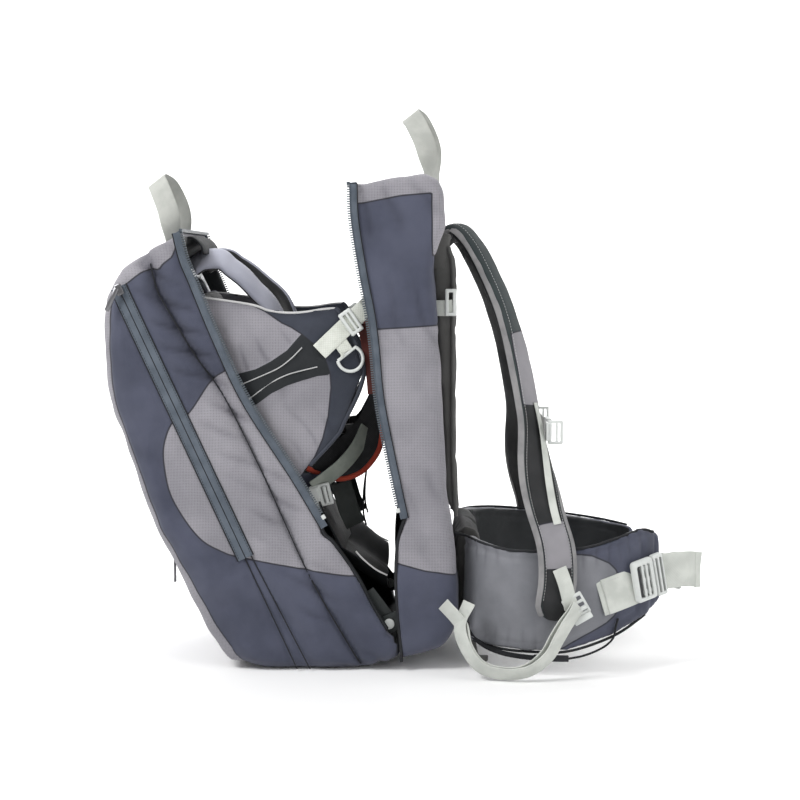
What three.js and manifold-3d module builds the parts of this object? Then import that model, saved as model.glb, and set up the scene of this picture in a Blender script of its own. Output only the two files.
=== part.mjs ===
// A framed child carrier backpack, unzipped and standing open as a V.
// Millimetres, +Z up, +X towards the wearer, +Y towards the wearer's left. The origin is under the middle of
// the object, on the surface that it stands on. The wearer's right side is at -Y.
import * as THREE from 'three';
import { mergeVertices } from 'three/addons/utils/BufferGeometryUtils.js';
import Module from 'manifold-3d';

const wasm = await Module();
wasm.setup();

// ---- driving dimensions ----
const SHELL_HALF = 170; // half width of both storage sections
const WALL = 10; // padded side panels
const BACK_WALL = 14; // padded outer walls
const INNER_HALF = SHELL_HALF - WALL;
const FIT = 0.3; // gap between touching pieces
const TUBE_R = 8; // frame tube
const PIVOT = { x: -15.2, z: 64.4 }; // where the two frame halves hinge
const RIVET_R = 4;
const ZIP_WIDTH = 11;
const ZIP_THICK = 1.8;
const POCKET_ZIP_WIDTH = 24;
const SMALL_WEBBING = 25;
const HIP_WEBBING = 50;
const WEBBING_THICK = 2;
const STRAP_WIDTH = 62; // padded shoulder strap
const STRAP_THICK = 15;
const HIP_THICK = 18;
const WING_Y = 150; // inner face of each seat wing
const TUBE_Y = 141; // both legs of each frame tube from the middle
const HAUL_WEBBING = 30;
const HAUL_HEIGHT = 90;
const PAD_HALF = 128; // half width of the back pad
const PAD_FACE_X = 77; // the flat part of the back pad that meets the wearer
const REAR_ROUND = 26; // how far the rear section's padded rim is rounded
const FRONT_ROUND = 16;
const BUCKLE_AT = [336, -168]; // the middle of the waist buckle on the wing's end
const BUCKLE_OUT = 7; // its distance out from there
const BUCKLE_Z = 130;

// ---- finishes ----
const finish = (color, roughness, metalness = 0) =>
  new THREE.MeshStandardMaterial({ color, roughness, metalness });
const navy = finish(0x4c4e60, 0.85);
const ripstop = finish(0x96929a, 0.85);
const zipTape = finish(0x5b6572, 0.7);
const padGrey = finish(0x55544f, 0.9);
const strapGreen = finish(0x3c4648, 0.85);
const mesh3d = finish(0x1c1a1d, 0.95);
const lavender = finish(0x9a9cb0, 0.8);
const paleWebbing = finish(0xc8ccc2, 0.75);
const palePlastic = finish(0xe2e4e0, 0.45);
const blackPlastic = finish(0x202124, 0.45);
const hingePlastic = finish(0x4a5350, 0.5);
const alloy = finish(0xc4c6c8, 0.35, 0.9);

// ---- geometry helpers ----
const bag = new THREE.Group();

function toSolid(geometry) {
  geometry.deleteAttribute('normal');
  geometry.deleteAttribute('uv');
  const merged = mergeVertices(geometry, 1e-4);
  const vertProperties = Float32Array.from(merged.attributes.position.array);
  const triVerts = Uint32Array.from(merged.index.array);
  return new wasm.Manifold(new wasm.Mesh({ numProp: 3, vertProperties, triVerts }));
}

function toGeometry(solid) {
  const { vertProperties, triVerts } = solid.getMesh();
  const geometry = new THREE.BufferGeometry();
  geometry.setAttribute('position', new THREE.BufferAttribute(vertProperties, 3));
  geometry.setIndex(new THREE.BufferAttribute(triVerts, 1));
  geometry.computeVertexNormals();
  return geometry;
}

const join = (...parts) => toGeometry(parts.map(toSolid).reduce((a, b) => a.add(b)));
const cut = (part, ...tools) => toGeometry(tools.map(toSolid).reduce((a, b) => a.subtract(b), toSolid(part)));
const common = (...parts) => toGeometry(parts.map(toSolid).reduce((a, b) => a.intersect(b)));

// The same shape on the wearer's other side.
function mirrored(geometry) {
  const copy = geometry.index ? geometry.toNonIndexed() : geometry.clone();
  copy.scale(1, -1, 1);
  const place = copy.attributes.position;
  for (let i = 0; i < place.count; i += 3) {
    const [x, y, z] = [place.getX(i), place.getY(i), place.getZ(i)];
    place.setXYZ(i, place.getX(i + 1), place.getY(i + 1), place.getZ(i + 1));
    place.setXYZ(i + 1, x, y, z);
  }
  copy.computeVertexNormals();
  return copy;
}

function add(name, geometry, material) {
  const mesh = new THREE.Mesh(geometry, material);
  mesh.name = name;
  bag.add(mesh);
}

// Adds NAME_right at -Y and NAME_left at +Y from a shape made on the right side.
function addPair(name, geometry, material) {
  add(`${name}_right`, geometry, material);
  add(`${name}_left`, mirrored(geometry), material);
}

// A smooth row of [x, z] points through the given ones.
function smooth(points, steps) {
  const curve = new THREE.SplineCurve(points.map(([x, z]) => new THREE.Vector2(x, z)));
  return curve.getPoints(steps).map((p) => [p.x, p.y]);
}

// The same row moved sideways by the distance d, to the left of its direction.
function offset(points, d) {
  return points.map(([x, z], i) => {
    const [x0, z0] = points[Math.max(0, i - 1)];
    const [x1, z1] = points[Math.min(points.length - 1, i + 1)];
    const length = Math.hypot(x1 - x0, z1 - z0);
    return [x - ((z1 - z0) / length) * d, z + ((x1 - x0) / length) * d];
  });
}

// An [x, z] outline made into a slab from y0 to y1, with its rim rounded by the radius given.
function slab(outline, y0, y1, round = 0) {
  const shape = new THREE.Shape(outline.map(([x, z]) => new THREE.Vector2(x, z)));
  const options = { depth: y1 - y0 - 2 * round, bevelEnabled: round > 0, curveSegments: 8 };
  if (round > 0) {
    Object.assign(options, { bevelThickness: round, bevelSize: round, bevelOffset: -round, bevelSegments: 3 });
  }
  const geometry = new THREE.ExtrudeGeometry(shape, options);
  geometry.rotateX(Math.PI / 2);
  geometry.translate(0, y1 - round, 0);
  return geometry;
}

// A panel that follows an [x, z] row, with a thickness, from y0 to y1.
function panel(points, thickness, y0, y1) {
  const upper = offset(points, thickness / 2);
  const lower = offset(points, -thickness / 2);
  return slab([...lower, ...upper.reverse()], y0, y1);
}

// An [x, y] outline made into a slab from z0 to z1.
function floorSlab(outline, z0, z1) {
  const shape = new THREE.Shape(outline.map(([x, y]) => new THREE.Vector2(x, y)));
  const geometry = new THREE.ExtrudeGeometry(shape, { depth: z1 - z0, bevelEnabled: false });
  return geometry.translate(0, 0, z0);
}

const route = (points) => new THREE.CatmullRomCurve3(points.map((p) => new THREE.Vector3(...p)));
const ALONG_Y = () => [0, 1, 0];

const FULL = () => 1;

// A flat strap along a route of [x, y, z] points. across(t) is the way its width points, and taper(t) and
// thin(t) its shares of the full width and thickness, with t going from 0 to 1 along the route.
function strap(points, width, thickness, steps, across = ALONG_Y, taper = FULL, thin = FULL) {
  const w = width / 2;
  const h = thickness / 2;
  const section = new THREE.Shape([
    new THREE.Vector2(-w, -h), new THREE.Vector2(w, -h), new THREE.Vector2(w, h), new THREE.Vector2(-w, h),
  ]);
  const geometry = new THREE.ExtrudeGeometry(section, { depth: 1, steps, bevelEnabled: false });
  const curve = route(points);
  const place = geometry.attributes.position;
  for (let i = 0; i < place.count; i += 1) {
    const t = Math.round(place.getZ(i) * steps) / steps;
    const along = curve.getTangentAt(t);
    const wide = new THREE.Vector3(...across(t));
    wide.addScaledVector(along, -wide.dot(along)).normalize();
    const thick = new THREE.Vector3().crossVectors(along, wide);
    const point = curve.getPointAt(t);
    point.addScaledVector(wide, place.getX(i) * taper(t)).addScaledVector(thick, place.getY(i) * thin(t));
    place.setXYZ(i, point.x, point.y, point.z);
  }
  return geometry;
}

// A round tube along a route of [x, y, z] points.
function tube(points, radius, steps) {
  const section = new THREE.Shape().absarc(0, 0, radius, 0, 2 * Math.PI);
  const options = { steps, extrudePath: route(points), bevelEnabled: false, curveSegments: 5 };
  return new THREE.ExtrudeGeometry(section, options);
}

function box(x0, x1, y0, y1, z0, z1) {
  const geometry = new THREE.BoxGeometry(x1 - x0, y1 - y0, z1 - z0);
  return geometry.translate((x0 + x1) / 2, (y0 + y1) / 2, (z0 + z1) / 2);
}

// A plate in the XZ plane with cut corners and upright windows, each [x0, x1], turned and set at a place.
function windowPlate(length, height, y0, y1, windows, at, degrees) {
  const l = length / 2;
  const h = height / 2;
  const c = h * 0.2;
  const outline = [
    [-l + c, -h], [l - c, -h], [l, -h + c], [l, h - c], [l - c, h], [-l + c, h], [-l, h - c], [-l, -h + c],
  ];
  const plate = slab(outline, y0, y1);
  const tools = windows.map(([x0, x1]) => box(x0, x1, y0 - 1, y1 + 1, -h + 2.8, h - 2.8));
  const geometry = tools.length > 0 ? cut(plate, ...tools) : plate;
  geometry.rotateY(-THREE.MathUtils.degToRad(degrees));
  return geometry.translate(at[0], 0, at[1]);
}

// ---- outlines, each an [x, z] row ----
const rearBack = smooth([
  [-302, 613], [-318, 603], [-352, 579], [-386, 558], [-402, 533], [-411, 490], [-411, 430], [-404, 375],
  [-386, 322], [-366, 263], [-342, 197], [-302, 119], [-262, 37], [-238, 11],
], 34);
const rearBase = [[-190, 0], [-60, 0], [-18, 10], [-1, 19]];
const rearThroat = [[-18, 58], [-39, 94], [-60, 134], [-92, 180], [-109, 196]];
const rearZipLine = smooth([
  [-109, 221], [-142, 277], [-208, 381], [-248, 466], [-280, 545], [-293, 577], [-302, 613],
], 18);

const frontTop = [[-70, 678], [-50, 680], [0, 688], [36, 693], [52, 685]];
const frontBack = smooth([
  [60, 668], [62, 621], [47, 575], [48, 540], [53, 484], [58, 400], [64, 312], [65, 262], [73, 200], [80, 137],
  [83, 90], [74, 54], [58, 36],
], 24);
const frontBase = [[28, 22], [2, 13]];
const frontThroat = [[1, 34], [-3, 80], [-6, 134], [-3, 182], [7, 217]];
const frontZipLine = smooth([
  [-3, 231], [-18, 302], [-33, 381], [-40, 455], [-46, 500], [-57, 557], [-68, 629], [-70, 678],
], 18);

// ---- rear storage section ----
function rearShell() {
  const outline = [...rearBack, ...rearBase, ...rearThroat, ...rearZipLine.slice(0, -1)];
  const past = [...rearBack, ...rearBase, [60, 19], [60, 640], [-270, 640]];
  const rounded = slab(past, -SHELL_HALF, SHELL_HALF, REAR_ROUND);
  const flat = slab(outline, -SHELL_HALF, SHELL_HALF);
  const inner = offset([...rearBack, ...rearBase], BACK_WALL);
  const hollow = slab([...inner, [80, 33], [80, 600]], -INNER_HALF, INNER_HALF);
  return cut(common(flat, rounded), hollow);
}

// The zip round the mouth of a section: a tape on both side edges, joined across the top edge.
function mouthZip(line, mouthSide) {
  const band = [...offset(line, 3 * mouthSide), ...offset(line, (3 - ZIP_WIDTH) * mouthSide).reverse()];
  const right = slab(band, -SHELL_HALF - ZIP_THICK, -SHELL_HALF - FIT);
  const [x, z] = line[line.length - 1];
  const lip = [x - 5 * mouthSide, x - 2.3 * mouthSide].sort((a, b) => a - b);
  const across = box(lip[0], lip[1], -SHELL_HALF - ZIP_THICK, SHELL_HALF + ZIP_THICK, z - 7, z);
  return join(right, mirrored(right), across);
}

// An inverted U of tube: up the right side, across the top and down the left side.
function frameTube(side, top) {
  const right = side.map(([x, z]) => [x, -TUBE_Y, z]);
  const left = side.map(([x, z]) => [x, TUBE_Y, z]).reverse();
  const bend = [[0, 0.97, 0.55], [0, 0.86, 0.88], [0, 0.66, 1]];
  const [x0, z0] = side[side.length - 1];
  const corner = (sign) => bend.map(([, y, up]) => [
    x0 + (top[0] - x0) * up, sign * TUBE_Y * y, z0 + (top[1] - z0) * up,
  ]);
  return tube([...right, ...corner(-1), ...corner(1).reverse(), ...left], TUBE_R, 46);
}

// A webbing loop that stands up from a seam: two legs side by side and a folded top, leaning over.
function haulLoop(x, z, height, lean) {
  const points = [
    [0, -34, 0], [0, -35, height * 0.45], [0, -24, height * 0.86], [0, -9, height],
    [0, 9, height], [0, 24, height * 0.86], [0, 35, height * 0.45], [0, 34, 0],
  ];
  const geometry = strap(points, HAUL_WEBBING, WEBBING_THICK, 26, () => [1, 0, 0]);
  geometry.rotateY(THREE.MathUtils.degToRad(lean));
  return geometry.translate(x, 0, z);
}

add('rear_shell', rearShell(), navy);
add('rear_frame_tube', frameTube(
  [[-46, 84], [-84, 140], [-140, 218], [-190, 298], [-238, 382], [-276, 462]], [-313, 552],
), alloy);
add('rear_mouth_zip', mouthZip(rearZipLine, -1), zipTape);
add('rear_haul_loop', haulLoop(-330, 602, HAUL_HEIGHT, -12), paleWebbing);

// The zip of the big outer pocket runs straight down each side panel.
const POCKET_ZIP = { top: [-388, 537], bottom: [-215, 160] };
const pocketRun = [POCKET_ZIP.bottom[0] - POCKET_ZIP.top[0], POCKET_ZIP.bottom[1] - POCKET_ZIP.top[1]];
const pocketAngle = Math.atan2(pocketRun[1], pocketRun[0]);
addPair('pocket_zip_tape', panel(
  [POCKET_ZIP.top, POCKET_ZIP.bottom], POCKET_ZIP_WIDTH, -SHELL_HALF - ZIP_THICK, -SHELL_HALF - FIT,
), zipTape);

function onPocketZip(geometry, distance, y) {
  geometry.rotateY(-pocketAngle);
  const x = POCKET_ZIP.top[0] + Math.cos(pocketAngle) * distance;
  const z = POCKET_ZIP.top[1] + Math.sin(pocketAngle) * distance;
  return geometry.translate(x, y, z);
}
const SLIDER_FACE = -SHELL_HALF - ZIP_THICK - FIT;
add('pocket_zip_slider', onPocketZip(box(-8, 8, -5, 0, -5, 5), 4, SLIDER_FACE), alloy);
// The pull hangs from the slider's bridge, over the rounded rim.
const PULL = { x: -388, y: SLIDER_FACE - 5 - FIT, z: 537, degrees: -115 };
const pull = box(0.7, 36, -3, 0, -3.2, 3.2);
pull.rotateY(-THREE.MathUtils.degToRad(PULL.degrees));
add('pocket_zip_pull', pull.translate(PULL.x, PULL.y, PULL.z), alloy);

add('lower_pocket_slider', box(-331, -325, -66, -54, 150, 160), alloy);
add('lower_pocket_pull', box(-329.5, -326.5, -64, -56, 106, 147), alloy);

// ---- frame hinge ----
// Each hinge is two plates on one rivet, just inside the side panels. The outer plate carries the front frame.
function hingePlate(reach, y0, y1) {
  const [dx, dz] = reach;
  const angle = Math.atan2(dz, dx);
  const length = Math.hypot(dx, dz);
  const half = 13;
  const shape = new THREE.Shape();
  shape.absarc(0, 0, half, Math.PI / 2, (3 * Math.PI) / 2);
  shape.lineTo(length, -half * 0.7);
  shape.lineTo(length, half * 0.7);
  shape.holes.push(new THREE.Path().absarc(0, 0, RIVET_R + FIT, 0, 2 * Math.PI));
  const options = { depth: y1 - y0, bevelEnabled: false, curveSegments: 10 };
  const geometry = new THREE.ExtrudeGeometry(shape, options);
  geometry.rotateZ(angle);
  geometry.rotateX(Math.PI / 2);
  return geometry.translate(PIVOT.x, y1, PIVOT.z);
}
function rivet(y0, y1) {
  const head = 7.5;
  const profile = [
    [0, y0], [head, y0], [head, y0 + 1.6], [RIVET_R, y0 + 1.6], [RIVET_R, y1 - 1.6], [head, y1 - 1.6],
    [head, y1], [0, y1],
  ];
  const geometry = new THREE.LatheGeometry(profile.map(([r, y]) => new THREE.Vector2(r, y)), 16);
  return geometry.translate(PIVOT.x, 0, PIVOT.z);
}
addPair('front_hinge_plate', hingePlate([62, 30], -157.6, -154.6), hingePlastic);
addPair('rear_hinge_plate', hingePlate([-30, 46], -154.2, -151), hingePlastic);
addPair('hinge_rivet', rivet(-159.5, -149.1), palePlastic);

// ---- front section ----
function frontShell() {
  const rim = [...frontTop, ...frontBack, ...frontBase];
  const outline = [...rim, ...frontThroat, ...frontZipLine.slice(0, -1)];
  const past = [...rim, [-80, 13], [-80, 140], [-160, 240], [-160, 678]];
  const rounded = slab(past, -SHELL_HALF, SHELL_HALF, FRONT_ROUND);
  const flat = slab(outline, -SHELL_HALF, SHELL_HALF);
  const inner = offset(rim, -BACK_WALL);
  const hollow = slab([...inner, [-150, 27], [-150, 664]], -INNER_HALF, INNER_HALF);
  return cut(common(flat, rounded), hollow);
}
add('front_shell', frontShell(), navy);
add('front_frame_tube', frameTube(
  [[44, 98], [38, 200], [32, 300], [25, 430], [21, 530], [19, 590]], [20, 646],
), alloy);
add('front_mouth_zip', mouthZip(frontZipLine, 1), zipTape);
add('front_haul_loop', haulLoop(38, 697, HAUL_HEIGHT, -14), paleWebbing);

const backFace = frontBack.filter(([, z]) => z < 592 && z > 200);
const padRow = offset(backFace, 0.6);
const padOuter = [[83, 205], [79, 262], [PAD_FACE_X, 300], [PAD_FACE_X, 540], [75, 575], [71, 594]];
add('back_pad', slab([...padRow, ...padOuter], -PAD_HALF, PAD_HALF), padGrey);
const lumbarSide = [[86, 40], [112, 52], [116, 120], [108, 190], [90, 196], [84, 150]];
add('lumbar_pad', slab(lumbarSide, -108, 108), padGrey);

// ---- hip belt ----
const wingPath = smooth([
  [99, -114], [120, -152], [160, -182], [215, -190], [275, -182], [325, -160], [363, -129],
], 22);
const wingLower = [[296, 53], [233, 34], [130, 35], [80, 44]];
const wingRight = [
  [80, 188], [155, 174], [245, 177], [290, 187], [336, 199], [364, 189], [376, 165], [372, 103], [350, 82],
  ...wingLower,
];
// The left wing hangs a little lower at its end.
const wingLeft = [
  [80, 190], [155, 182], [245, 172], [310, 165], [360, 158], [374, 146], [378, 118], [368, 88], [346, 68],
  ...wingLower,
];
function beltLayer(from, to, outward, thickness, side, z0, z1) {
  const path = wingPath.slice(from, to);
  const inner = offset(path, -outward + thickness / 2);
  const outer = offset(path, -outward - thickness / 2);
  const layer = floorSlab([...inner, ...outer.reverse()], z0, z1);
  return side ? common(layer, slab(side, -400, 0)) : layer;
}
const TAB_OUT = HIP_THICK / 2 + 1.6;
const TAB_Z = 92;
const LEFT_DROP = 24; // how much lower the left tab and adjuster sit
add('hip_wing_right', beltLayer(0, 23, 0, HIP_THICK, wingRight, 20, 210), ripstop);
add('hip_wing_left', mirrored(beltLayer(0, 23, 0, HIP_THICK, wingLeft, 20, 210)), ripstop);
function wingTab(drop) {
  return beltLayer(14, 18, TAB_OUT, 2, null, TAB_Z - drop, TAB_Z + HIP_WEBBING - drop);
}
add('hip_wing_tab_right', wingTab(0), paleWebbing);
add('hip_wing_tab_left', mirrored(wingTab(LEFT_DROP)), paleWebbing);

// The waist buckle: a socket on the right wing's tab and a plug on the webbing that comes round the front.
// It lies along the wing's end, which turns inwards, and rises towards the front.
const buckleTurn = THREE.MathUtils.degToRad(31);
const buckleRise = THREE.MathUtils.degToRad(12);
function onWingEnd(geometry) {
  geometry.rotateY(-buckleRise);
  geometry.rotateZ(buckleTurn);
  const x = BUCKLE_AT[0] + Math.sin(buckleTurn) * BUCKLE_OUT;
  const y = BUCKLE_AT[1] - Math.cos(buckleTurn) * BUCKLE_OUT;
  return geometry.translate(x, y, BUCKLE_Z);
}
const socket = cut(box(-18, 18, -6, 6, -30, 30), box(-12, 30, -3.4, 3.4, -24, 24));
const webbingSlot = (x) => box(x, x + 5, -9, 9, -25.5, 25.5);
const prongs = [-17, 0, 17].map((z) => box(-8, 19, -2.8, 2.8, z - 4, z + 4));
const plug = join(cut(box(18.5, 34, -6, 6, -30, 30), webbingSlot(25)), ...prongs);
add('hip_buckle_socket', onWingEnd(socket), palePlastic);
add('hip_buckle_plug', onWingEnd(plug), palePlastic);
const frontWebbing = [
  [374, -147, 138], [391, -128, 137], [404, -94, 130], [409, -40, 117], [409, 40, 105], [404, 92, 98],
  [391, 126, 98], [374, 147, 102],
];
add('hip_belt_webbing', strap(frontWebbing, HIP_WEBBING, WEBBING_THICK, 30, () => [0, 0, 1]), paleWebbing);
const adjuster = cut(box(10, 34, -4, 4, -30, 30), webbingSlot(15), webbingSlot(24.5));
const adjusterLeft = mirrored(onWingEnd(adjuster)).translate(0, 0, -LEFT_DROP);
add('hip_adjuster_left', adjusterLeft, palePlastic);

// ---- shoulder harness ----
const shoulderRoute = [
  [70, -72, 610], [84, -74, 615], [99, -78, 602], [116, -82, 575], [144, -88, 513], [167, -94, 439],
  [182, -104, 362], [190, -132, 294], [201, -180, 232], [214, -207, 184], [217, -212, 142], [213, -212, 106],
  [209, -211, 80],
];
const { smoothstep } = THREE.MathUtils;
// The strap lies across the shoulder at its top and turns to lie on the hip wing's outside at its foot.
function shoulderAcross(t) {
  const angle = THREE.MathUtils.degToRad(10 + 6 * smoothstep(t, 0, 0.5) + 66 * smoothstep(t, 0.55, 0.8));
  return [Math.sin(angle), Math.cos(angle), 0];
}
const shoulderTaper = (t) => 1 - 0.25 * smoothstep(t, 0.55, 0.8) - 0.4 * smoothstep(t, 0.94, 1);
const shoulderThin = (t) => 1 - 0.45 * smoothstep(t, 0.55, 0.8);
addPair('shoulder_strap', strap(
  shoulderRoute, STRAP_WIDTH, STRAP_THICK, 34, shoulderAcross, shoulderTaper, shoulderThin,
), strapGreen);
const LOCK = { x: 241, y: -220.8, z: 102 };
addPair('shoulder_lock', windowPlate(
  32, 30, LOCK.y, LOCK.y + 4, [[-11, -6], [-2.5, 2.5], [6, 11]], [LOCK.x, LOCK.z], -60,
), palePlastic);
const looseRoute = [
  [226, -231, 82], [214, -232, 60], [200, -233, 36], [176, -234, 17], [146, -234, 11.5], [112, -228, 19],
  [92, -212, 42], [84, -196, 70], [78, -190, 98],
];
// The loop stands askew: its width turns from forwards, at the lock, past straight down, at the floor, to back.
function looseAcross(t) {
  const turn = THREE.MathUtils.degToRad(-20 - 140 * t);
  return [Math.cos(turn) * 0.7, 0.7, Math.sin(turn) * 0.7];
}
addPair('shoulder_webbing', strap(
  looseRoute, SMALL_WEBBING, 2 * WEBBING_THICK, 30, looseAcross,
), paleWebbing);
addPair('side_strap', box(52, 72, -135, -131, 498, 516), paleWebbing);
addPair('side_lock', box(64, 78, -139.5, -135.4, 496, 534), palePlastic);

// ---- sternum strap ----
// Everything on it is placed from its middle height and its depth.
const STERNUM = { x: 213, z: 332 };
const onSternum = (x0, x1, y0, y1, half) => box(
  STERNUM.x + x0, STERNUM.x + x1, y0, y1, STERNUM.z - half, STERNUM.z + half,
);
addPair('sternum_slider', onSternum(-7, 0, -125, -102, 13), palePlastic);
const sternumSocket = cut(onSternum(-4, 4, -94, -66, 16), onSternum(-2, 2, -80, -60, 12));
const sternumPlug = join(onSternum(-4, 4, -65.5, -56, 16), onSternum(-1.6, 1.6, -78, -65, 9));
add('sternum_socket', sternumSocket, palePlastic);
add('sternum_plug', sternumPlug, palePlastic);
add('sternum_webbing', onSternum(-1, 1, -55.6, 96, 10), paleWebbing);

// ---- child seat ----
addPair('seat_wing', slab([
  [-292, 524], [-266, 522], [-204, 513], [-182, 505], [-132, 503], [-90, 508], [-80, 494], [-50, 421],
  [-79, 346], [-91, 326], [-126, 288], [-150, 262], [-178, 268], [-235, 370], [-272, 460],
], -WING_Y - 3.4, -WING_Y + 0.2), ripstop);
const backrestRow = smooth([[-290, 530], [-268, 460], [-240, 375], [-210, 290]], 10);
add('seat_backrest', panel(backrestRow, 16, -118, 118), navy);
add('seat_base', panel(smooth([[-196, 270], [-145, 260], [-92, 268]], 6), 18, -95, 95), navy);
const chestRow = smooth([[-50, 440], [-54, 385], [-64, 330], [-76, 288]], 8);
add('seat_front_panel', panel(chestRow, 14, -62, 62), mesh3d);
addPair('seat_harness_strap', strap([
  [-298, -55, 563], [-280, -55, 574], [-258, -55, 574], [-243, -55, 563], [-227, -54, 550], [-209, -53, 531],
  [-185, -51, 505], [-166, -48, 465], [-152, -43, 410], [-146, -38, 360],
], 45, 12, 24), lavender);
add('seat_harness_buckle', box(-106, -78, -24, 24, 318, 346), blackPlastic);
add('seat_bottom_gusset', panel(smooth([[-103, 184], [-60, 158], [-16, 128]], 6), 3, -149, 149), mesh3d);
addPair('seat_side_strap', windowPlate(87, SMALL_WEBBING, -159.5, -157.8, [], [-79.5, 478], 43.4), paleWebbing);
addPair('seat_side_lock', windowPlate(
  34, 30, -157.5, -154, [[-12, -7], [-2.5, 2.5], [7, 12]], [-68, 488.5], 43.4,
), palePlastic);

// A D-ring: a straight bar closed by a round bow.
function dRing(x, z, radius, bar, y0, y1, degrees) {
  const half = THREE.MathUtils.degToRad(135);
  const bow = (r, angle) => {
    const shape = new THREE.Path();
    return shape.absarc(0, 0, r, -angle, angle, false);
  };
  const outer = new THREE.Shape(bow(radius, half).getPoints(22));
  const barX = Math.cos(half) * radius + bar;
  const innerHalf = Math.acos(barX / (radius - bar));
  outer.holes.push(new THREE.Path(bow(radius - bar, innerHalf).getPoints(20)));
  const geometry = new THREE.ExtrudeGeometry(outer, { depth: y1 - y0, bevelEnabled: false });
  geometry.rotateZ(THREE.MathUtils.degToRad(degrees));
  geometry.rotateX(Math.PI / 2);
  return geometry.translate(x, y1, z);
}
addPair('seat_ring', dRing(-69, 437.5, 20, 5, -157.4, -153.9, -58), palePlastic);

export default bag;
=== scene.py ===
"""A framed child carrier backpack, unzipped and standing open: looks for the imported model."""

import math

import bpy
import numpy as np
from mathutils import Matrix, Vector


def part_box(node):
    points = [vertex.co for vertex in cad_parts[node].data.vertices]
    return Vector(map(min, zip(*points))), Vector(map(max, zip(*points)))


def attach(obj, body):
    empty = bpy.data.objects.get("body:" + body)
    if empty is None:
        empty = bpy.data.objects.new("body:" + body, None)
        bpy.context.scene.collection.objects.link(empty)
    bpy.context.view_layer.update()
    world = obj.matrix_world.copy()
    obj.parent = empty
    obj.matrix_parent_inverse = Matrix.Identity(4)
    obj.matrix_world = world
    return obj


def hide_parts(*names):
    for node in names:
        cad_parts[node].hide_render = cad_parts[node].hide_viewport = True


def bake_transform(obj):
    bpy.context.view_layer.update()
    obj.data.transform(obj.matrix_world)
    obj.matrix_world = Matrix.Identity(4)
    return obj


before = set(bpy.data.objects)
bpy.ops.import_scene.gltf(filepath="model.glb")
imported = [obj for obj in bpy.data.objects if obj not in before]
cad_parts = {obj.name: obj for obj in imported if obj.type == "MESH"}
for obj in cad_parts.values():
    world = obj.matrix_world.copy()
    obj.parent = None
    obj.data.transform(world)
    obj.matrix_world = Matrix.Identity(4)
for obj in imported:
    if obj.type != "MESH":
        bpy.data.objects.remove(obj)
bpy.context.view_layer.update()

MM = 0.001
RIGHT, LEFT = -1, 1  # the wearer's right side is at -Y
SIDES = {"right": RIGHT, "left": LEFT}
SHELL_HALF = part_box("rear_shell")[1].y
REAR_ROUND, FRONT_ROUND = 26 * MM, 16 * MM  # how far the two shells' side panels are rounded at their rims
HAUL_WEB, SMALL_WEB, BELT_WEB, STERNUM_WEB = 30 * MM, 25 * MM, 50 * MM, 20 * MM  # webbing widths


# ---------- camera, light and floor ----------
def set_stage():
    """The camera, a paper sweep for a floor, a white world and four soft lamps."""
    scene = bpy.context.scene
    eye = Vector((0, -2.57, 0.575))
    aim = Vector((0, -0.17, 0.381))
    camera = bpy.data.objects.new("camera", bpy.data.cameras.new("camera"))
    camera.location = eye
    camera.rotation_euler = (aim - eye).to_track_quat("-Z", "Y").to_euler()
    camera.data.lens = 78.3
    camera.data.sensor_width = 36
    scene.collection.objects.link(camera)
    scene.camera = camera

    bpy.ops.mesh.primitive_grid_add(x_subdivisions=2, y_subdivisions=60, size=2, location=(0, 0, 0))
    floor = bpy.context.object
    floor.name = "floor"
    sweep = points(floor)
    bend_from, bend_run, half_width, rise = 2.4, 1.6, 9, 1.6
    run = (sweep[:, 1] + 1) * 5.5 - 5
    bend = np.clip(run - bend_from, 0, bend_run) / bend_run * math.pi / 2
    past = np.maximum(run - 4.0, 0)
    y = np.minimum(run, bend_from) + np.sin(bend)
    z = 1 - np.cos(bend) + past * rise
    move_points(floor, np.stack([sweep[:, 0] * half_width, y, z - 0.8 * MM], axis=1))
    smooth(floor)
    paint = Paint("floor_paper")
    paint.finish(color=(0.93, 0.93, 0.93), roughness=0.9)
    floor.data.materials.append(paint.material)

    world = bpy.data.worlds.new("studio")
    world.use_nodes = True
    background = world.node_tree.nodes["Background"]
    background.inputs["Color"].default_value = (1, 1, 1, 1)
    background.inputs["Strength"].default_value = 0.6
    scene.world = world
    add_lamp("key", (-1.7, -1.3, 2.1), 0.9, 52)
    add_lamp("fill", (1.9, -1.7, 1.1), 1.8, 24)
    add_lamp("back", (0.4, 2.2, 2.0), 1.8, 16)
    add_lamp("backdrop", (0, 1.3, 3.2), 3.0, 150, (0, 3.9, 1.6))
    scene.view_settings.view_transform = "Standard"


def add_lamp(name, place, size, power, aim=(0, 0, 0.35)):
    lamp = bpy.data.lights.new(name, "AREA")
    lamp.size = size
    lamp.energy = power
    holder = bpy.data.objects.new(name, lamp)
    holder.location = place
    holder.rotation_euler = (Vector(aim) - Vector(place)).to_track_quat("-Z", "Y").to_euler()
    bpy.context.scene.collection.objects.link(holder)


# ---------- materials ----------
class Value:
    """A shader socket that arithmetic works on."""

    def __init__(self, paint, socket):
        self.paint = paint
        self.socket = socket

    def _maths(self, operation, a, b=None):
        return self.paint.node("Math", {"operation": operation}, a, *([] if b is None else [b]))

    def __add__(self, other):
        return self._maths("ADD", self, other)

    def __sub__(self, other):
        return self._maths("SUBTRACT", self, other)

    def __rsub__(self, other):
        return self._maths("SUBTRACT", other, self)

    def __mul__(self, other):
        return self._maths("MULTIPLY", self, other)

    __radd__ = __add__
    __rmul__ = __mul__

    def sine(self):
        return self._maths("SINE", self)

    def size(self):
        return self._maths("ABSOLUTE", self)

    def between(self, low, high):
        """0 below low, 1 above high, and smooth between them."""
        settings = {"interpolation_type": "SMOOTHSTEP"}
        return self.paint.node("MapRange", settings, self, low, high, 0.0, 1.0)


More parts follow.
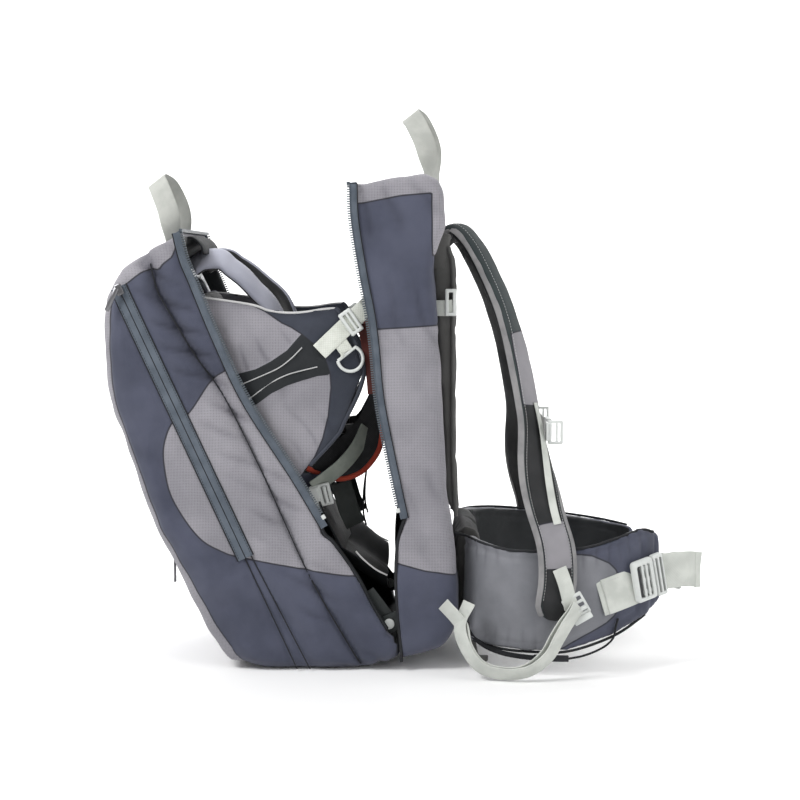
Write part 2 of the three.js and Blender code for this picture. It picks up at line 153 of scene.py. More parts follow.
class Paint:
    """One procedural material."""

    def __init__(self, name):
        self.material = bpy.data.materials.new(name)
        self.material.use_nodes = True
        self.tree = self.material.node_tree
        self.shader = self.tree.nodes["Principled BSDF"]

    def node(self, kind, settings, *inputs, out=0, **named):
        node = self.tree.nodes.new("ShaderNode" + kind)
        for key, value in settings.items():
            setattr(node, key, value)
        for place, value in [*enumerate(inputs), *named.items()]:
            self.plug(node.inputs[place.replace("_", " ") if isinstance(place, str) else place], value)
        return Value(self, node.outputs[out])

    def plug(self, socket, value):
        if isinstance(value, Value):
            self.tree.links.new(value.socket, socket)
        elif isinstance(value, tuple) and len(value) == 3 and socket.type == "RGBA":
            socket.default_value = (*value, 1)
        else:
            socket.default_value = value

    def place(self):
        return self.node("TexCoord", {}, out="Object")

    def axes(self, vector):
        split = self.node("SeparateXYZ", {}, vector)
        outputs = split.socket.node.outputs
        return [Value(self, outputs[i]) for i in range(3)]

    def attribute(self, name):
        return self.node("Attribute", {"attribute_name": name}, out="Fac")

    def mix(self, share, a, b, blend="MIX"):
        node = self.tree.nodes.new("ShaderNodeMix")
        node.data_type = "RGBA"
        node.blend_type = blend
        for name, value in (("Factor", share), ("A", a), ("B", b)):
            self.plug(next(s for s in node.inputs if s.name == name and s.enabled), value)
        return Value(self, next(s for s in node.outputs if s.enabled))

    def noise(self, vector, scale, detail=3.0, roughness=0.55):
        return self.node("TexNoise", {}, Vector=vector, Scale=scale, Detail=detail, Roughness=roughness)

    def bump(self, height, distance, strength=1.0, normal=None):
        extra = {} if normal is None else {"Normal": normal}
        return self.node("Bump", {}, Height=height, Distance=distance, Strength=strength, **extra)

    def finish(self, color, roughness, normal=None, metallic=0.0, sheen=0.0):
        self.plug(self.shader.inputs["Base Color"], color)
        self.plug(self.shader.inputs["Roughness"], roughness)
        self.plug(self.shader.inputs["Metallic"], metallic)
        self.shader.inputs["Sheen Weight"].default_value = sheen
        self.shader.inputs["Sheen Roughness"].default_value = 0.6
        self.shader.inputs["Specular IOR Level"].default_value = 0.35
        if normal is not None:
            self.plug(self.shader.inputs["Normal"], normal)
        return self.material


def threads(paint, pitch, diagonal=False):
    """Crossing threads that follow whichever way a surface faces: 0 to 1, brightest on top of a thread."""
    x, y, z = paint.axes(paint.place())
    facing = paint.node("TexCoord", {}, out="Normal")
    nx, ny, nz = [n * n for n in paint.axes(facing)]
    k = 2 * math.pi / pitch
    if diagonal:
        pairs = [((x + z), (x - z), ny), ((y + z), (y - z), nx), ((x + y), (x - y), nz)]
        k /= math.sqrt(2)
    else:
        pairs = [(x, z, ny), (y, z, nx), (x, y, nz)]
    total = sum(((a * k).sine() * (b * k).sine() * share for a, b, share in pairs), 0)
    return total * 0.5 + 0.5


class Weave:
    """One cloth: the two shades that it drifts between, its thread pitch, and dots woven in at a pitch."""

    def __init__(self, dark, light, pitch=1.2 * MM, dots=None, dot_color=(0.1, 0.095, 0.11), depth=0.12 * MM):
        self.dark, self.light, self.pitch = dark, light, pitch
        self.dots, self.dot_color, self.depth = dots, dot_color, depth

    def color(self, paint):
        cloud = paint.noise(paint.place(), 11.0, 4.0)
        color = paint.mix(cloud.between(0.32, 0.68), self.dark, self.light)
        shade = paint.mix(threads(paint, self.pitch), (0.78, 0.78, 0.78), (1.16, 1.16, 1.16))
        color = paint.mix(1.0, color, shade, "MULTIPLY")
        if self.dots:
            spots = threads(paint, self.dots, diagonal=True).between(0.66, 0.9)
            color = paint.mix(spots, color, self.dot_color)
        return color


NAVY = Weave((0.041, 0.046, 0.073), (0.063, 0.069, 0.104))
DARK_NAVY = Weave((0.022, 0.026, 0.038), (0.038, 0.043, 0.06))
RIPSTOP = Weave((0.222, 0.216, 0.238), (0.29, 0.281, 0.306), dots=3.0 * MM, dot_color=(0.085, 0.083, 0.1))
SATIN_GREY = Weave((0.132, 0.137, 0.153), (0.19, 0.194, 0.213), pitch=0.9 * MM)
PLAIN_GREY = Weave((0.2, 0.195, 0.21), (0.27, 0.262, 0.28))
LINING = Weave((0.009, 0.011, 0.013), (0.017, 0.019, 0.022), pitch=1.6 * MM)
PAD_GREY = Weave((0.052, 0.052, 0.05), (0.078, 0.077, 0.074), pitch=1.8 * MM)
STRAP_GREEN = Weave((0.022, 0.03, 0.031), (0.042, 0.053, 0.055), pitch=1.1 * MM)
AIR_MESH = Weave((0.012, 0.013, 0.014), (0.03, 0.03, 0.032), pitch=3.2 * MM, depth=0.5 * MM)
LAVENDER = Weave((0.33, 0.34, 0.42), (0.41, 0.42, 0.5), pitch=0.9 * MM)
RED = Weave((0.32, 0.035, 0.018), (0.46, 0.06, 0.03), pitch=1.0 * MM)
DARK_RED = Weave((0.05, 0.008, 0.006), (0.085, 0.014, 0.01), pitch=1.4 * MM)
BLACK = Weave((0.008, 0.009, 0.011), (0.016, 0.017, 0.02), pitch=1.2 * MM)


def cloth_paint(name, base, over=None, inside=None, roughness=0.82, sheen=0.1, crease_shaded=False):
    """Woven cloth. over is a second cloth where the attribute "panel", in millimetres from the seam between
    them, is above 0, and inside a third where the attribute "lining" is. With its last flag set, the
    attribute
    "crease" darkens it: painted shade in folds and along some seams and rims."""
    paint = Paint(name)
    color = base.color(paint)
    if over:
        edge = paint.attribute("panel")
        color = paint.mix(edge.between(-0.25, 0.25), color, over.color(paint))
        color = paint.mix(edge.size().between(0.5, 1.7), (0.02, 0.02, 0.028), color)
    if inside:
        color = paint.mix(paint.attribute("lining").between(-0.25, 0.25), color, inside.color(paint))
    # Painted shade: the colour darkens towards 0.36 of itself where the attribute "crease" rises.
    if crease_shaded:
        shadow = paint.mix(1.0, color, (0.36, 0.36, 0.4), "MULTIPLY")
        color = paint.mix(paint.attribute("crease"), color, shadow)
    creases = paint.noise(paint.place(), 42.0, 5.0)
    threads_up = threads(paint, base.pitch)
    fine = paint.bump(threads_up, base.depth, 0.7)
    normal = paint.bump(creases, 1.6 * MM, 0.35, normal=fine)
    worn = paint.noise(paint.place(), 30.0, 3.0).between(0.35, 0.7) * 0.1 + roughness - 0.05
    return paint.finish(color, worn, normal, sheen=sheen)


def webbing_paint(name, dark, light, ribs=2.2 * MM):
    """Ribbed webbing on the strap's own map: U across and V along, both in metres."""
    paint = Paint(name)
    u, v, _ = paint.axes(paint.node("UVMap", {"uv_map": "strap"}))
    rib = (v * (2 * math.pi / ribs)).sine() * (u * (2 * math.pi / (ribs * 1.1))).sine() * 0.5 + 0.5
    drift = paint.noise(paint.place(), 35.0, 3.0)
    color = paint.mix(drift.between(0.3, 0.7), dark, light)
    color = paint.mix(rib, paint.mix(1.0, color, (0.8, 0.8, 0.78), "MULTIPLY"), color)
    normal = paint.bump(rib, 0.35 * MM, 0.8)
    return paint.finish(color, rib * -0.08 + 0.74, normal, sheen=0.15)


def plastic_paint(name, color, roughness=0.42):
    """Moulded plastic with a faint spark-eroded grain and scuffed edges."""
    paint = Paint(name)
    grain = paint.noise(paint.place(), 1400.0, 2.0)
    drift = paint.noise(paint.place(), 60.0, 3.0)
    scuff = paint.noise(paint.place(), 320.0, 4.0).between(0.56, 0.7)
    shade = paint.mix(drift, tuple(0.9 * c for c in color), tuple(min(1, 1.04 * c) for c in color))
    color = paint.mix(scuff * 0.35, shade, tuple(0.78 * c for c in color))
    return paint.finish(color, scuff * 0.18 + roughness, paint.bump(grain, 0.05 * MM, 0.5))


def metal_paint(name, color, roughness=0.28):
    """Bare metal, brushed and slightly tarnished."""
    paint = Paint(name)
    streak = paint.noise(paint.node("Mapping", {}, paint.place(), Scale=(900, 900, 60)), 1.0, 3.0)
    tarnish = paint.noise(paint.place(), 70.0, 4.0).between(0.45, 0.75)
    shade = paint.mix(tarnish, color, tuple(0.6 * c for c in color))
    return paint.finish(shade, streak * 0.15 + roughness, paint.bump(streak, 0.03 * MM, 0.4), metallic=1.0)


PAINTS = {}


def make_paints():
    PAINTS.update(
        section=cloth_paint("section_cloth", NAVY, RIPSTOP, LINING, crease_shaded=True),
        dark_navy=cloth_paint("dark_navy_cloth", DARK_NAVY),
        hip=cloth_paint("hip_cloth", NAVY, SATIN_GREY, LINING, roughness=0.66, crease_shaded=True),
        wing=cloth_paint("wing_cloth", DARK_NAVY, RIPSTOP, LINING, sheen=0.03, crease_shaded=True),
        pad=cloth_paint("pad_cloth", PAD_GREY, PAD_GREY, AIR_MESH, roughness=0.92),
        strap=cloth_paint("strap_cloth", STRAP_GREEN, PLAIN_GREY, AIR_MESH, sheen=0.02),
        mesh=cloth_paint("air_mesh_cloth", AIR_MESH, roughness=0.95, sheen=0.0),
        lavender=cloth_paint("harness_cloth", LAVENDER, None, AIR_MESH, roughness=0.7, sheen=0.25),
        red=cloth_paint("red_binding", RED),
        dark_red=cloth_paint("dark_red_cloth", DARK_RED),
        black=cloth_paint("black_cloth", BLACK, sheen=0.0),
        tape=webbing_paint("zip_tape", (0.065, 0.082, 0.108), (0.1, 0.122, 0.155), ribs=1.5 * MM),
        grey_tape=webbing_paint("grey_edge_tape", (0.2, 0.197, 0.205), (0.29, 0.285, 0.29), ribs=1.2 * MM),
        # Painted light and shade: "pale" and "bright" are one webbing, "pale" darkened for pieces in the key
        # light, "bright" lightened for pieces in shade.
        pale=webbing_paint("pale_webbing", (0.4, 0.41, 0.385), (0.5, 0.51, 0.48)),
        bright=webbing_paint("webbing_painted_lighter", (0.49, 0.51, 0.48), (0.61, 0.63, 0.595)),
        olive=webbing_paint("olive_webbing", (0.2, 0.225, 0.2), (0.29, 0.315, 0.28)),
        dark_webbing=webbing_paint("black_webbing", (0.014, 0.015, 0.017), (0.026, 0.027, 0.03)),
        plastic=plastic_paint("pale_acetal", (0.56, 0.58, 0.565)),
        dark_plastic=plastic_paint("black_acetal", (0.02, 0.02, 0.022), 0.38),
        hinge=plastic_paint("hinge_nylon", (0.02, 0.024, 0.024), 0.5),
        teeth=plastic_paint("zip_teeth", (0.085, 0.1, 0.115), 0.3),
        alloy=metal_paint("satin_alloy", (0.62, 0.63, 0.64)),
        nickel=metal_paint("nickel", (0.2, 0.2, 0.21), 0.24),
        thread_dark=cloth_paint("dark_thread", BLACK),
        pad_piping=cloth_paint("pad_piping", PAD_GREY, roughness=0.8),
        quilted=cloth_paint("seat_cloth", NAVY, RIPSTOP, AIR_MESH),
        textured=webbing_paint("stitched_webbing", (0.5, 0.52, 0.47), (0.66, 0.68, 0.63), ribs=3.4 * MM),
        olive_dark=webbing_paint("dark_olive_webbing", (0.03, 0.036, 0.034), (0.05, 0.058, 0.055)),
        thread=cloth_paint("pale_thread", Weave((0.42, 0.42, 0.42), (0.5, 0.5, 0.5), pitch=0.6 * MM)),
    )


# ---------- making pieces ----------
def select_only(*objects):
    bpy.ops.object.select_all(action="DESELECT")
    for piece in objects:
        piece.select_set(True)
    bpy.context.view_layer.objects.active = objects[0]


def apply_modifier(piece, kind, **settings):
    modifier = piece.modifiers.new(kind.lower(), kind)
    for key, value in settings.items():
        setattr(modifier, key, value)
    select_only(piece)
    bpy.ops.object.modifier_apply(modifier=modifier.name)


def points(piece):
    co = np.empty(len(piece.data.vertices) * 3)
    piece.data.vertices.foreach_get("co", co)
    return co.reshape(-1, 3)


def move_points(piece, co):
    piece.data.vertices.foreach_set("co", np.asarray(co, float).ravel())
    piece.data.update()


def normals(piece):
    n = np.empty(len(piece.data.vertices) * 3)
    piece.data.vertex_normals.foreach_get("vector", n)
    return n.reshape(-1, 3)


def mark(piece, name, values):
    attribute = piece.data.attributes.new(name, "FLOAT", "POINT")
    attribute.data.foreach_set("value", np.asarray(values, np.float32))


def smooth(piece, angle=None):
    select_only(piece)
    if angle is None:
        bpy.ops.object.shade_smooth()
    else:
        bpy.ops.object.shade_smooth_by_angle(angle=math.radians(angle))


def dress(piece, paint, body, slot, *nodes):
    """Gives a finished piece its material, the body that it rides on and the CAD nodes that it stands for."""
    piece.data.materials.clear()
    piece.data.materials.append(PAINTS[paint])
    if body:
        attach(piece, body)
    if nodes:
        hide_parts(*nodes)
    return piece


def copy_node(node, name):
    piece = bpy.data.objects.new(name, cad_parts[node].data.copy())
    bpy.context.scene.collection.objects.link(piece)
    select_only(piece)
    bpy.ops.object.mode_set(mode="EDIT")
    bpy.ops.mesh.select_all(action="SELECT")
    bpy.ops.mesh.remove_doubles(threshold=0.01 * MM)
    bpy.ops.object.mode_set(mode="OBJECT")
    return piece


def cloth_copy(node, name, voxel):
    """A padded piece's starting form: the node's own shape, in even quads, with its edges eased."""
    piece = copy_node(node, name)
    apply_modifier(piece, "REMESH", mode="VOXEL", voxel_size=voxel)
    apply_modifier(piece, "SMOOTH", factor=0.5, iterations=3)
    smooth(piece)
    return piece


def puff(piece, pressure, cap):
    """Inflates a closed piece as cloth for 20 frames, and keeps each point within cap of its place."""
    start = points(piece)
    modifier = piece.modifiers.new("cloth", "CLOTH")
    settings = modifier.settings
    settings.use_pressure = True
    settings.uniform_pressure_force = pressure
    settings.effector_weights.gravity = 0
    settings.tension_stiffness = settings.compression_stiffness = 12
    settings.shear_stiffness = 6
    settings.quality = 4
    modifier.collision_settings.use_collision = False
    first, last = 1, 20
    modifier.point_cache.frame_start, modifier.point_cache.frame_end = first, last
    scene = bpy.context.scene
    for number in range(first, last + 1):
        scene.frame_set(number)
    settled = piece.evaluated_get(bpy.context.evaluated_depsgraph_get())
    end = np.empty(len(start) * 3)
    settled.data.vertices.foreach_get("co", end)
    piece.modifiers.remove(modifier)
    scene.frame_set(first)
    travel = end.reshape(-1, 3) - start
    length = np.linalg.norm(travel, axis=1, keepdims=True)
    travel *= np.minimum(1, cap / np.maximum(length, 1e-9))
    move_points(piece, start + travel)


def to_metres(outline):
    return np.array(outline, float) * MM


def unit(rows):
    """Each row at length 1."""
    return rows / np.linalg.norm(rows, axis=1, keepdims=True)


def reach_of(row):
    """The distance along a row of points, at each of them."""
    return np.concatenate([[0], np.cumsum(np.linalg.norm(np.diff(row, axis=0), axis=1))])


def run_of(row):
    """The way a row of points runs, at each of them."""
    return unit(np.gradient(row, axis=0))


def square_to(across, run):
    """Unit widths square to a strap's run: across is one way for all of it, or one for each point."""
    wide = np.broadcast_to(np.asarray(across, float), run.shape).copy()
    wide -= run * np.sum(wide * run, axis=1, keepdims=True)
    return unit(wide)


def rounded_row(row, steps):
    """Points along a smooth curve through a short row of points, in any number of dimensions."""
    row = np.asarray(row, float)
    padded = np.vstack([2 * row[0] - row[1], row, 2 * row[-1] - row[-2]])
    spans = len(row) - 1
    out = []
    for place in np.linspace(0, spans, steps + 1):
        i = min(int(place), spans - 1)
        t = place - i
        a, b, c, d = padded[i : i + 4]
        square, cube = (2 * a - 5 * b + 4 * c - d) * t**2, (3 * b - a - 3 * c + d) * t**3
        out.append(0.5 * (2 * b + (c - a) * t + square + cube))
    return np.array(out)


def along(row, flat):
    """Each flat point's distance from a row of points, how far along it the nearest place is, and which
    side of it the point lies on."""
    best = np.full(len(flat), 1e9)
    reach = np.zeros(len(flat))
    side = np.zeros(len(flat))
    gone = 0.0
    for a, b in zip(row[:-1], row[1:]):
        run = b - a
        length = np.linalg.norm(run)
        if length < 1e-9:
            continue
        t = np.clip((flat - a) @ run / length**2, 0, 1)
        gap = flat - a - t[:, None] * run
        distance = np.linalg.norm(gap, axis=1)
        nearer = distance < best
        best = np.where(nearer, distance, best)
        reach = np.where(nearer, gone + t * length, reach)
        side = np.where(nearer, np.sign(run[0] * gap[:, 1] - run[1] * gap[:, 0]), side)
        gone += length
    return best, reach, side


def within(outline, flat):
    """Signed distance into a closed outline: above 0 inside."""
    ring = np.vstack([outline, outline[:1]])
    x, y = flat[:, 0], flat[:, 1]
    odd = np.zeros(len(flat), bool)
    for (x0, y0), (x1, y1) in zip(ring[:-1], ring[1:]):
        crosses = (y0 > y) != (y1 > y)
        with np.errstate(divide="ignore", invalid="ignore"):
            at = (x1 - x0) * (y - y0) / (y1 - y0) + x0
        odd ^= crosses & (x < at)
    distance = along(ring, flat)[0]
    return np.where(odd, distance, -distance)


def resample(row, places):
    """Points of a row at the distances given along it."""
    reach = reach_of(row)
    return np.stack([np.interp(places, reach, row[:, k]) for k in range(row.shape[1])], axis=-1)


def length_of(row):
    return np.sum(np.linalg.norm(np.diff(row, axis=0), axis=1))


def route(row, count):
    """A smooth way through points in millimetres, as evenly spaced points in metres."""
    fine = rounded_row(to_metres(row), 24 * len(row))
    return resample(fine, np.linspace(0, length_of(fine), count))


def sided(row, side):
    """The same points on the given side, from points on the right."""
    return np.asarray(row, float) * (1, -side, 1)


def smoothstep(value, low, high):
    t = np.clip((np.asarray(value, float) - low) / (high - low), 0, 1)
    return t * t * (3 - 2 * t)


def ripples(co, size, seed, count=9):
    """Smooth unevenness between about -1 and 1, with lumps of the size given, the same on every run."""
    draw = np.random.default_rng(seed)
    total = np.zeros(len(co))
    for _ in range(count):
        way = draw.normal(size=3)
        way *= 2 * math.pi / (size * draw.uniform(0.7, 1.6)) / np.linalg.norm(way)
        total += np.sin(co @ way + draw.uniform(0, 2 * math.pi))
    return total / math.sqrt(count)


def bell(distance, width):
    return np.exp(-((distance / width) ** 2))


def ribbon(name, route, width, thickness, across, camber=0.0):
    """A flat strap along a route of points in metres. across gives the way its width points: one vector, or
    one for each point. Its map "strap" holds metres across and along."""
    route = np.asarray(route, float)
    count = len(route)
    bpy.ops.mesh.primitive_grid_add(
        x_subdivisions=6, y_subdivisions=count - 1, size=1, location=(0, 0, 0)
    )
    piece = bpy.context.object
    piece.name = piece.data.name = name
    flat = points(piece)
    u = flat[:, 0]
    row = np.rint((flat[:, 1] + 0.5) * (count - 1)).astype(int)
    run = run_of(route)
    wide = square_to(across, run)
    up = np.cross(run, wide)
    bow = camber * (1 - (2 * u) ** 2)
    co = route[row] + wide[row] * (u * width)[:, None] + up[row] * bow[:, None]
    uv = piece.data.uv_layers[0]
    uv.name = "strap"
    loops = np.empty(len(piece.data.loops), int)
    piece.data.loops.foreach_get("vertex_index", loops)
    spread = np.stack([u * width, reach_of(route)[row]], axis=1)[loops]
    uv.data.foreach_set("uv", spread.ravel())
    move_points(piece, co)
    apply_modifier(piece, "SOLIDIFY", thickness=thickness, offset=0.0)
    if thickness > 1 * MM:
        apply_modifier(piece, "BEVEL", width=0.3 * thickness, segments=2, limit_method="ANGLE")
    smooth(piece, 50)
    return piece


def cord_line(name, route, radius, sides=8):
    """A round piping or thread along a route of points, with closed ends."""
    curve = bpy.data.curves.new(name, "CURVE")
    curve.dimensions = "3D"
    curve.bevel_depth = radius
    curve.bevel_resolution = max(1, sides // 4)
    curve.use_fill_caps = True
    spline = curve.splines.new("POLY")
    spline.points.add(len(route) - 1)
    for point, place in zip(spline.points, route):
        point.co = (*place, 1)
    piece = bpy.data.objects.new(name, curve)
    bpy.context.scene.collection.objects.link(piece)
    select_only(piece)
    bpy.ops.object.convert(target="MESH")
    smooth(piece)
    return piece


def joined(name, pieces):
    select_only(*pieces)
    if len(pieces) > 1:
        bpy.ops.object.join()
    piece = bpy.context.object
    piece.name = piece.data.name = name
    return piece


def row_of_copies(name, pattern, route, spans):
    """Copies of a small pattern that stands along Z, one over each span of distances along a route."""
    shape = points(pattern)
    faces = [tuple(f.vertices) for f in pattern.data.polygons]
    bpy.data.objects.remove(pattern)
    co, polygons = [], []
    for a, b in resample(route, np.asarray(spans)):
        turn = np.array(Vector(b - a).to_track_quat("Z", "Y").to_matrix())
        base = len(co) * len(shape)
        co.append(shape @ turn.T + (a + b) / 2)
        polygons += [tuple(base + i for i in face) for face in faces]
    mesh = bpy.data.meshes.new(name)
    mesh.from_pydata(np.vstack(co).tolist(), [], polygons)
    piece = bpy.data.objects.new(name, mesh)
    bpy.context.scene.collection.objects.link(piece)
    return piece


def stitches(name, route, length=2.6 * MM, gap=1.6 * MM, radius=0.35 * MM):
    """A row of short raised stitches along a route: one stitch modelled once, then copied along it."""
    route = np.asarray(route, float)
    bpy.ops.mesh.primitive_cylinder_add(vertices=5, radius=radius, depth=length, location=(0, 0, 0))
    starts = np.arange(0, reach_of(route)[-1] - length, length + gap)
    return row_of_copies(name, bpy.context.object, route, [(s, s + length) for s in starts])


def on_side(row, y):
    """A row of [x, z] points, in metres, set at a distance y across."""
    row = np.asarray(row, float)
    return np.stack([row[:, 0], np.full(len(row), y), row[:, 1]], axis=1)


# ---------- the outlines that both the shells and their trims follow, in millimetres ----------
REAR_BACK = [
    (-302, 613), (-318, 603), (-352, 579), (-386, 558), (-402, 533), (-411, 490), (-411, 430), (-404, 375),
    (-386, 322), (-366, 263), (-342, 197), (-302, 119), (-262, 37), (-238, 11),
]
REAR_BASE = [(-190, 0), (-60, 0), (-18, 10), (-1, 19)]
REAR_THROAT = [(-18, 58), (-39, 94), (-60, 134), (-92, 180), (-109, 196)]
REAR_ZIP = [(-109, 221), (-142, 277), (-208, 381), (-248, 466), (-280, 545), (-293, 577), (-302, 613)]
FRONT_BACK = [
    (60, 668), (62, 621), (47, 575), (48, 540), (53, 484), (58, 400), (64, 312), (65, 262), (73, 200),
    (80, 137), (83, 90), (74, 54), (58, 36),
]
FRONT_TOP = [(-70, 678), (-50, 680), (0, 688), (36, 693), (52, 685)]
FRONT_THROAT = [(2, 13), (1, 34), (-3, 80), (-6, 134), (-3, 182), (7, 217)]
FRONT_ZIP = [(-3, 231), (-18, 302), (-33, 381), (-40, 455), (-46, 500), (-57, 557), (-68, 629), (-70, 678)]
GUSSET_SEAM = [
    (-344, 569), (-335, 534), (-324, 512), (-284, 444), (-244, 386), (-195, 287), (-166, 222), (-134, 150),
    (-105, 94), (-55, 8),
]
POCKET_ZIP = [(-388, 537), (-215, 160)]
REAR_RIPSTOP = [
    (-243, 421), (-262, 407), (-293, 362), (-315, 350), (-327, 321), (-328, 291), (-320, 251), (-302, 217),
    (-277, 186), (-250, 170), (-225, 161), (-166, 150), (-97, 138), (-60, 134),
]
REAR_CROWN = [
    (-430, 520), (-384, 537), (-344, 564), (-331, 560), (-327, 567), (-313, 578), (-309, 592), (-309, 650),
    (-430, 650),
]
FRONT_RIPSTOP = [
    (-80, 476), (-28, 479), (80, 486), (120, 486), (120, 134), (80, 135), (35, 141), (-3, 152), (-80, 165),
]
FRONT_CROWN = [
    (-90, 648), (-51, 652), (0, 662), (44, 666), (44, 600), (45, 580), (90, 578), (90, 720), (-90, 720),
]
POCKET_SEAMS = [[(-219, 166), (-144, 3)], [(-208, 164), (-126, 3)]]


# ---------- the two padded sections ----------
def trimmed(co, row, mouth):
    """Draws back the points that lie past a side panel's open edge, so that the edge is a clean curve."""
    line = rounded_row(to_metres(row), 120)
    distance, reach, where = along(line, co[:, [0, 2]])
    run = resample(line, reach + 2 * MM) - resample(line, reach - 2 * MM)
    run /= np.maximum(np.linalg.norm(run, axis=1, keepdims=True), 1e-6)
    aside = np.stack([-run[:, 1], run[:, 0]], axis=1) * mouth
    past = (distance * where * mouth > -1.6 * MM) & (distance < 12 * MM) & (np.abs(co[:, 1]) > 0.15)
    edge = resample(line, reach) - aside * 1.6 * MM
    co[past] = np.stack([edge[past, 0], co[past, 1], edge[past, 1]], axis=1)
    return co


def fold_marks(wave, sharpness):
    """Narrow creases where a wave passes through a multiple of a full turn."""
    return np.exp(-((np.sin(wave / 2) / sharpness) ** 2))


def rear_section():
    """The padded rear shell: lining inside, two cloths outside, with seams, quilting and creases."""
    piece = cloth_copy("rear_shell", "rear_section_shell", 4.6 * MM)
    co, n = points(piece), normals(piece)
    flat, height = co[:, [0, 2]], np.abs(co[:, 1])
    rim = rounded_row(to_metres(REAR_BACK), 60)
    outline = np.vstack([rim, to_metres(REAR_BASE)])
    from_rim = along(outline, flat)[0]
    inside = (height < side_height(flat, outline, REAR_ROUND) - 5.5 * MM) & (from_rim > 7.5 * MM)
    ripstop = rounded_row(to_metres(REAR_RIPSTOP), 60)
    ripstop = np.vstack([ripstop, to_metres([(40, 134), (40, 440), (-215, 440)])])
    crown = to_metres(REAR_CROWN)
    strip = np.where(flat[:, 1] < 0.2, 8 + (0.2 - flat[:, 1]) * 60, 8) * MM
    strip = strip - np.maximum(flat[:, 0] + 0.238, 0)
    panel = np.maximum.reduce([within(ripstop, flat), within(crown, flat), strip - from_rim])
    middle = np.minimum.reduce([0.104 - height, flat[:, 1] - 0.075, 0.5 - flat[:, 1]])
    panel = np.where((height < 0.13) & (flat[:, 0] < -0.25), np.minimum(panel, -middle), panel)
    seam, reach, where = along(rounded_row(to_metres(GUSSET_SEAM), 60), flat)
    others = [along(rounded_row(to_metres(r), 12), flat)[0] for r in POCKET_SEAMS]
    zip_line = along(rounded_row(to_metres(REAR_ZIP), 30), flat)[0]
    band = along(to_metres(POCKET_ZIP), flat)[0]
    outer = ~inside
    calm = smoothstep(np.minimum(zip_line - 10 * MM, band - 12 * MM), 0, 14 * MM)
    borders = [seam, np.abs(panel), zip_line - 10 * MM, band - 9 * MM, from_rim + 12 * MM, *others]
    quilt = np.minimum.reduce(borders)
    lift = 5.5 * MM * (1 - bell(np.maximum(quilt, 0), 20 * MM))
    lift -= 7 * MM * bell(seam, 5 * MM)
    lift -= 1.2 * MM * bell(panel, 2.5 * MM)
    lift -= sum(1.6 * MM * bell(other, 3 * MM) for other in others)
    wave = (reach - 1.1 * seam * where) * 2 * math.pi / (46 * MM) + 1.5 * ripples(co, 0.16, 3)
    fade = bell(np.maximum(seam - 9 * MM, 0), 30 * MM) * calm
    fade = fade * np.clip(ripples(co, 0.1, 4) * 0.7 + 0.55, 0, 1)
    fold = fold_marks(wave, 0.42) * fade * outer
    lift += 1.8 * MM * fade - 5.2 * MM * fold
    lift += (1.0 * MM * ripples(co, 0.05, 5) + 1.6 * MM * ripples(co, 0.13, 6)) * calm
    floor = np.clip(co[:, 2] / (14 * MM), 0, 1)
    co = co + n * (lift * outer * floor)[:, None]
    co += n * (inside * 1.2 * MM * ripples(co, 0.05, 8))[:, None]
    move_points(piece, trimmed(co, REAR_THROAT + REAR_ZIP[:-1], -1))
    mark(piece, "panel", panel / MM)
    mark(piece, "lining", inside * 2.0 - 1)
    # Painted shade, stored in "crease": dark along the gusset seam, wider towards the top, and in the fold
    # marks.
    shade = 0.55 * bell(seam, 4 * MM) + 0.5 * bell(seam - 2 * MM, 13 * MM) * smoothstep(flat[:, 1], 0.3, 0.52)
    mark(piece, "crease", np.clip(0.5 * fold + shade * outer, 0, 1))
    return dress(piece, "section", "rear_half", "navy_fabric", "rear_shell")


def front_section():
    """The padded front shell, made as the rear one is."""
    piece = cloth_copy("front_shell", "front_section_shell", 4.4 * MM)
    co, n = points(piece), normals(piece)
    flat, height = co[:, [0, 2]], np.abs(co[:, 1])
    back = rounded_row(to_metres(FRONT_BACK), 40)
    rim = np.vstack([to_metres(FRONT_TOP), back, to_metres([(28, 22), (2, 13)])])
    from_rim = along(rim, flat)[0]
    inside = (height < side_height(flat, rim, FRONT_ROUND) - 5.5 * MM) & (from_rim > 7.5 * MM)
    panel = np.maximum(within(to_metres(FRONT_CROWN), flat), within(to_metres(FRONT_RIPSTOP), flat))
    zip_line = along(rounded_row(to_metres(FRONT_ZIP), 30), flat)[0]
    calm = smoothstep(zip_line - 10 * MM, 0, 14 * MM)
    quilt = np.minimum.reduce([np.abs(panel), zip_line - 10 * MM, from_rim + 8 * MM])
    lift = 3.6 * MM * (1 - bell(np.maximum(quilt, 0), 22 * MM))
    lift -= 1.2 * MM * bell(panel, 2.5 * MM)
    lift += (0.9 * MM * ripples(co, 0.05, 15) + 1.5 * MM * ripples(co, 0.12, 16)) * calm
    wave = (flat[:, 0] + 0.3 * flat[:, 1]) * 2 * math.pi / (46 * MM) + 2 * ripples(co, 0.11, 17)
    fold = fold_marks(wave, 0.4) * np.clip(ripples(co, 0.14, 18), 0, 1) * calm * ~inside
    lift -= 2.6 * MM * fold
    co = co + n * (lift * ~inside)[:, None]
    move_points(piece, trimmed(co, FRONT_THROAT[1:] + FRONT_ZIP, 1))
    mark(piece, "panel", panel / MM)
    mark(piece, "lining", inside * 2.0 - 1)
    # Painted shade, stored in "crease": dark in the fold marks.
    mark(piece, "crease", np.clip(0.4 * fold, 0, 1))
    return dress(piece, "section", "front_half", "navy_fabric", "front_shell")


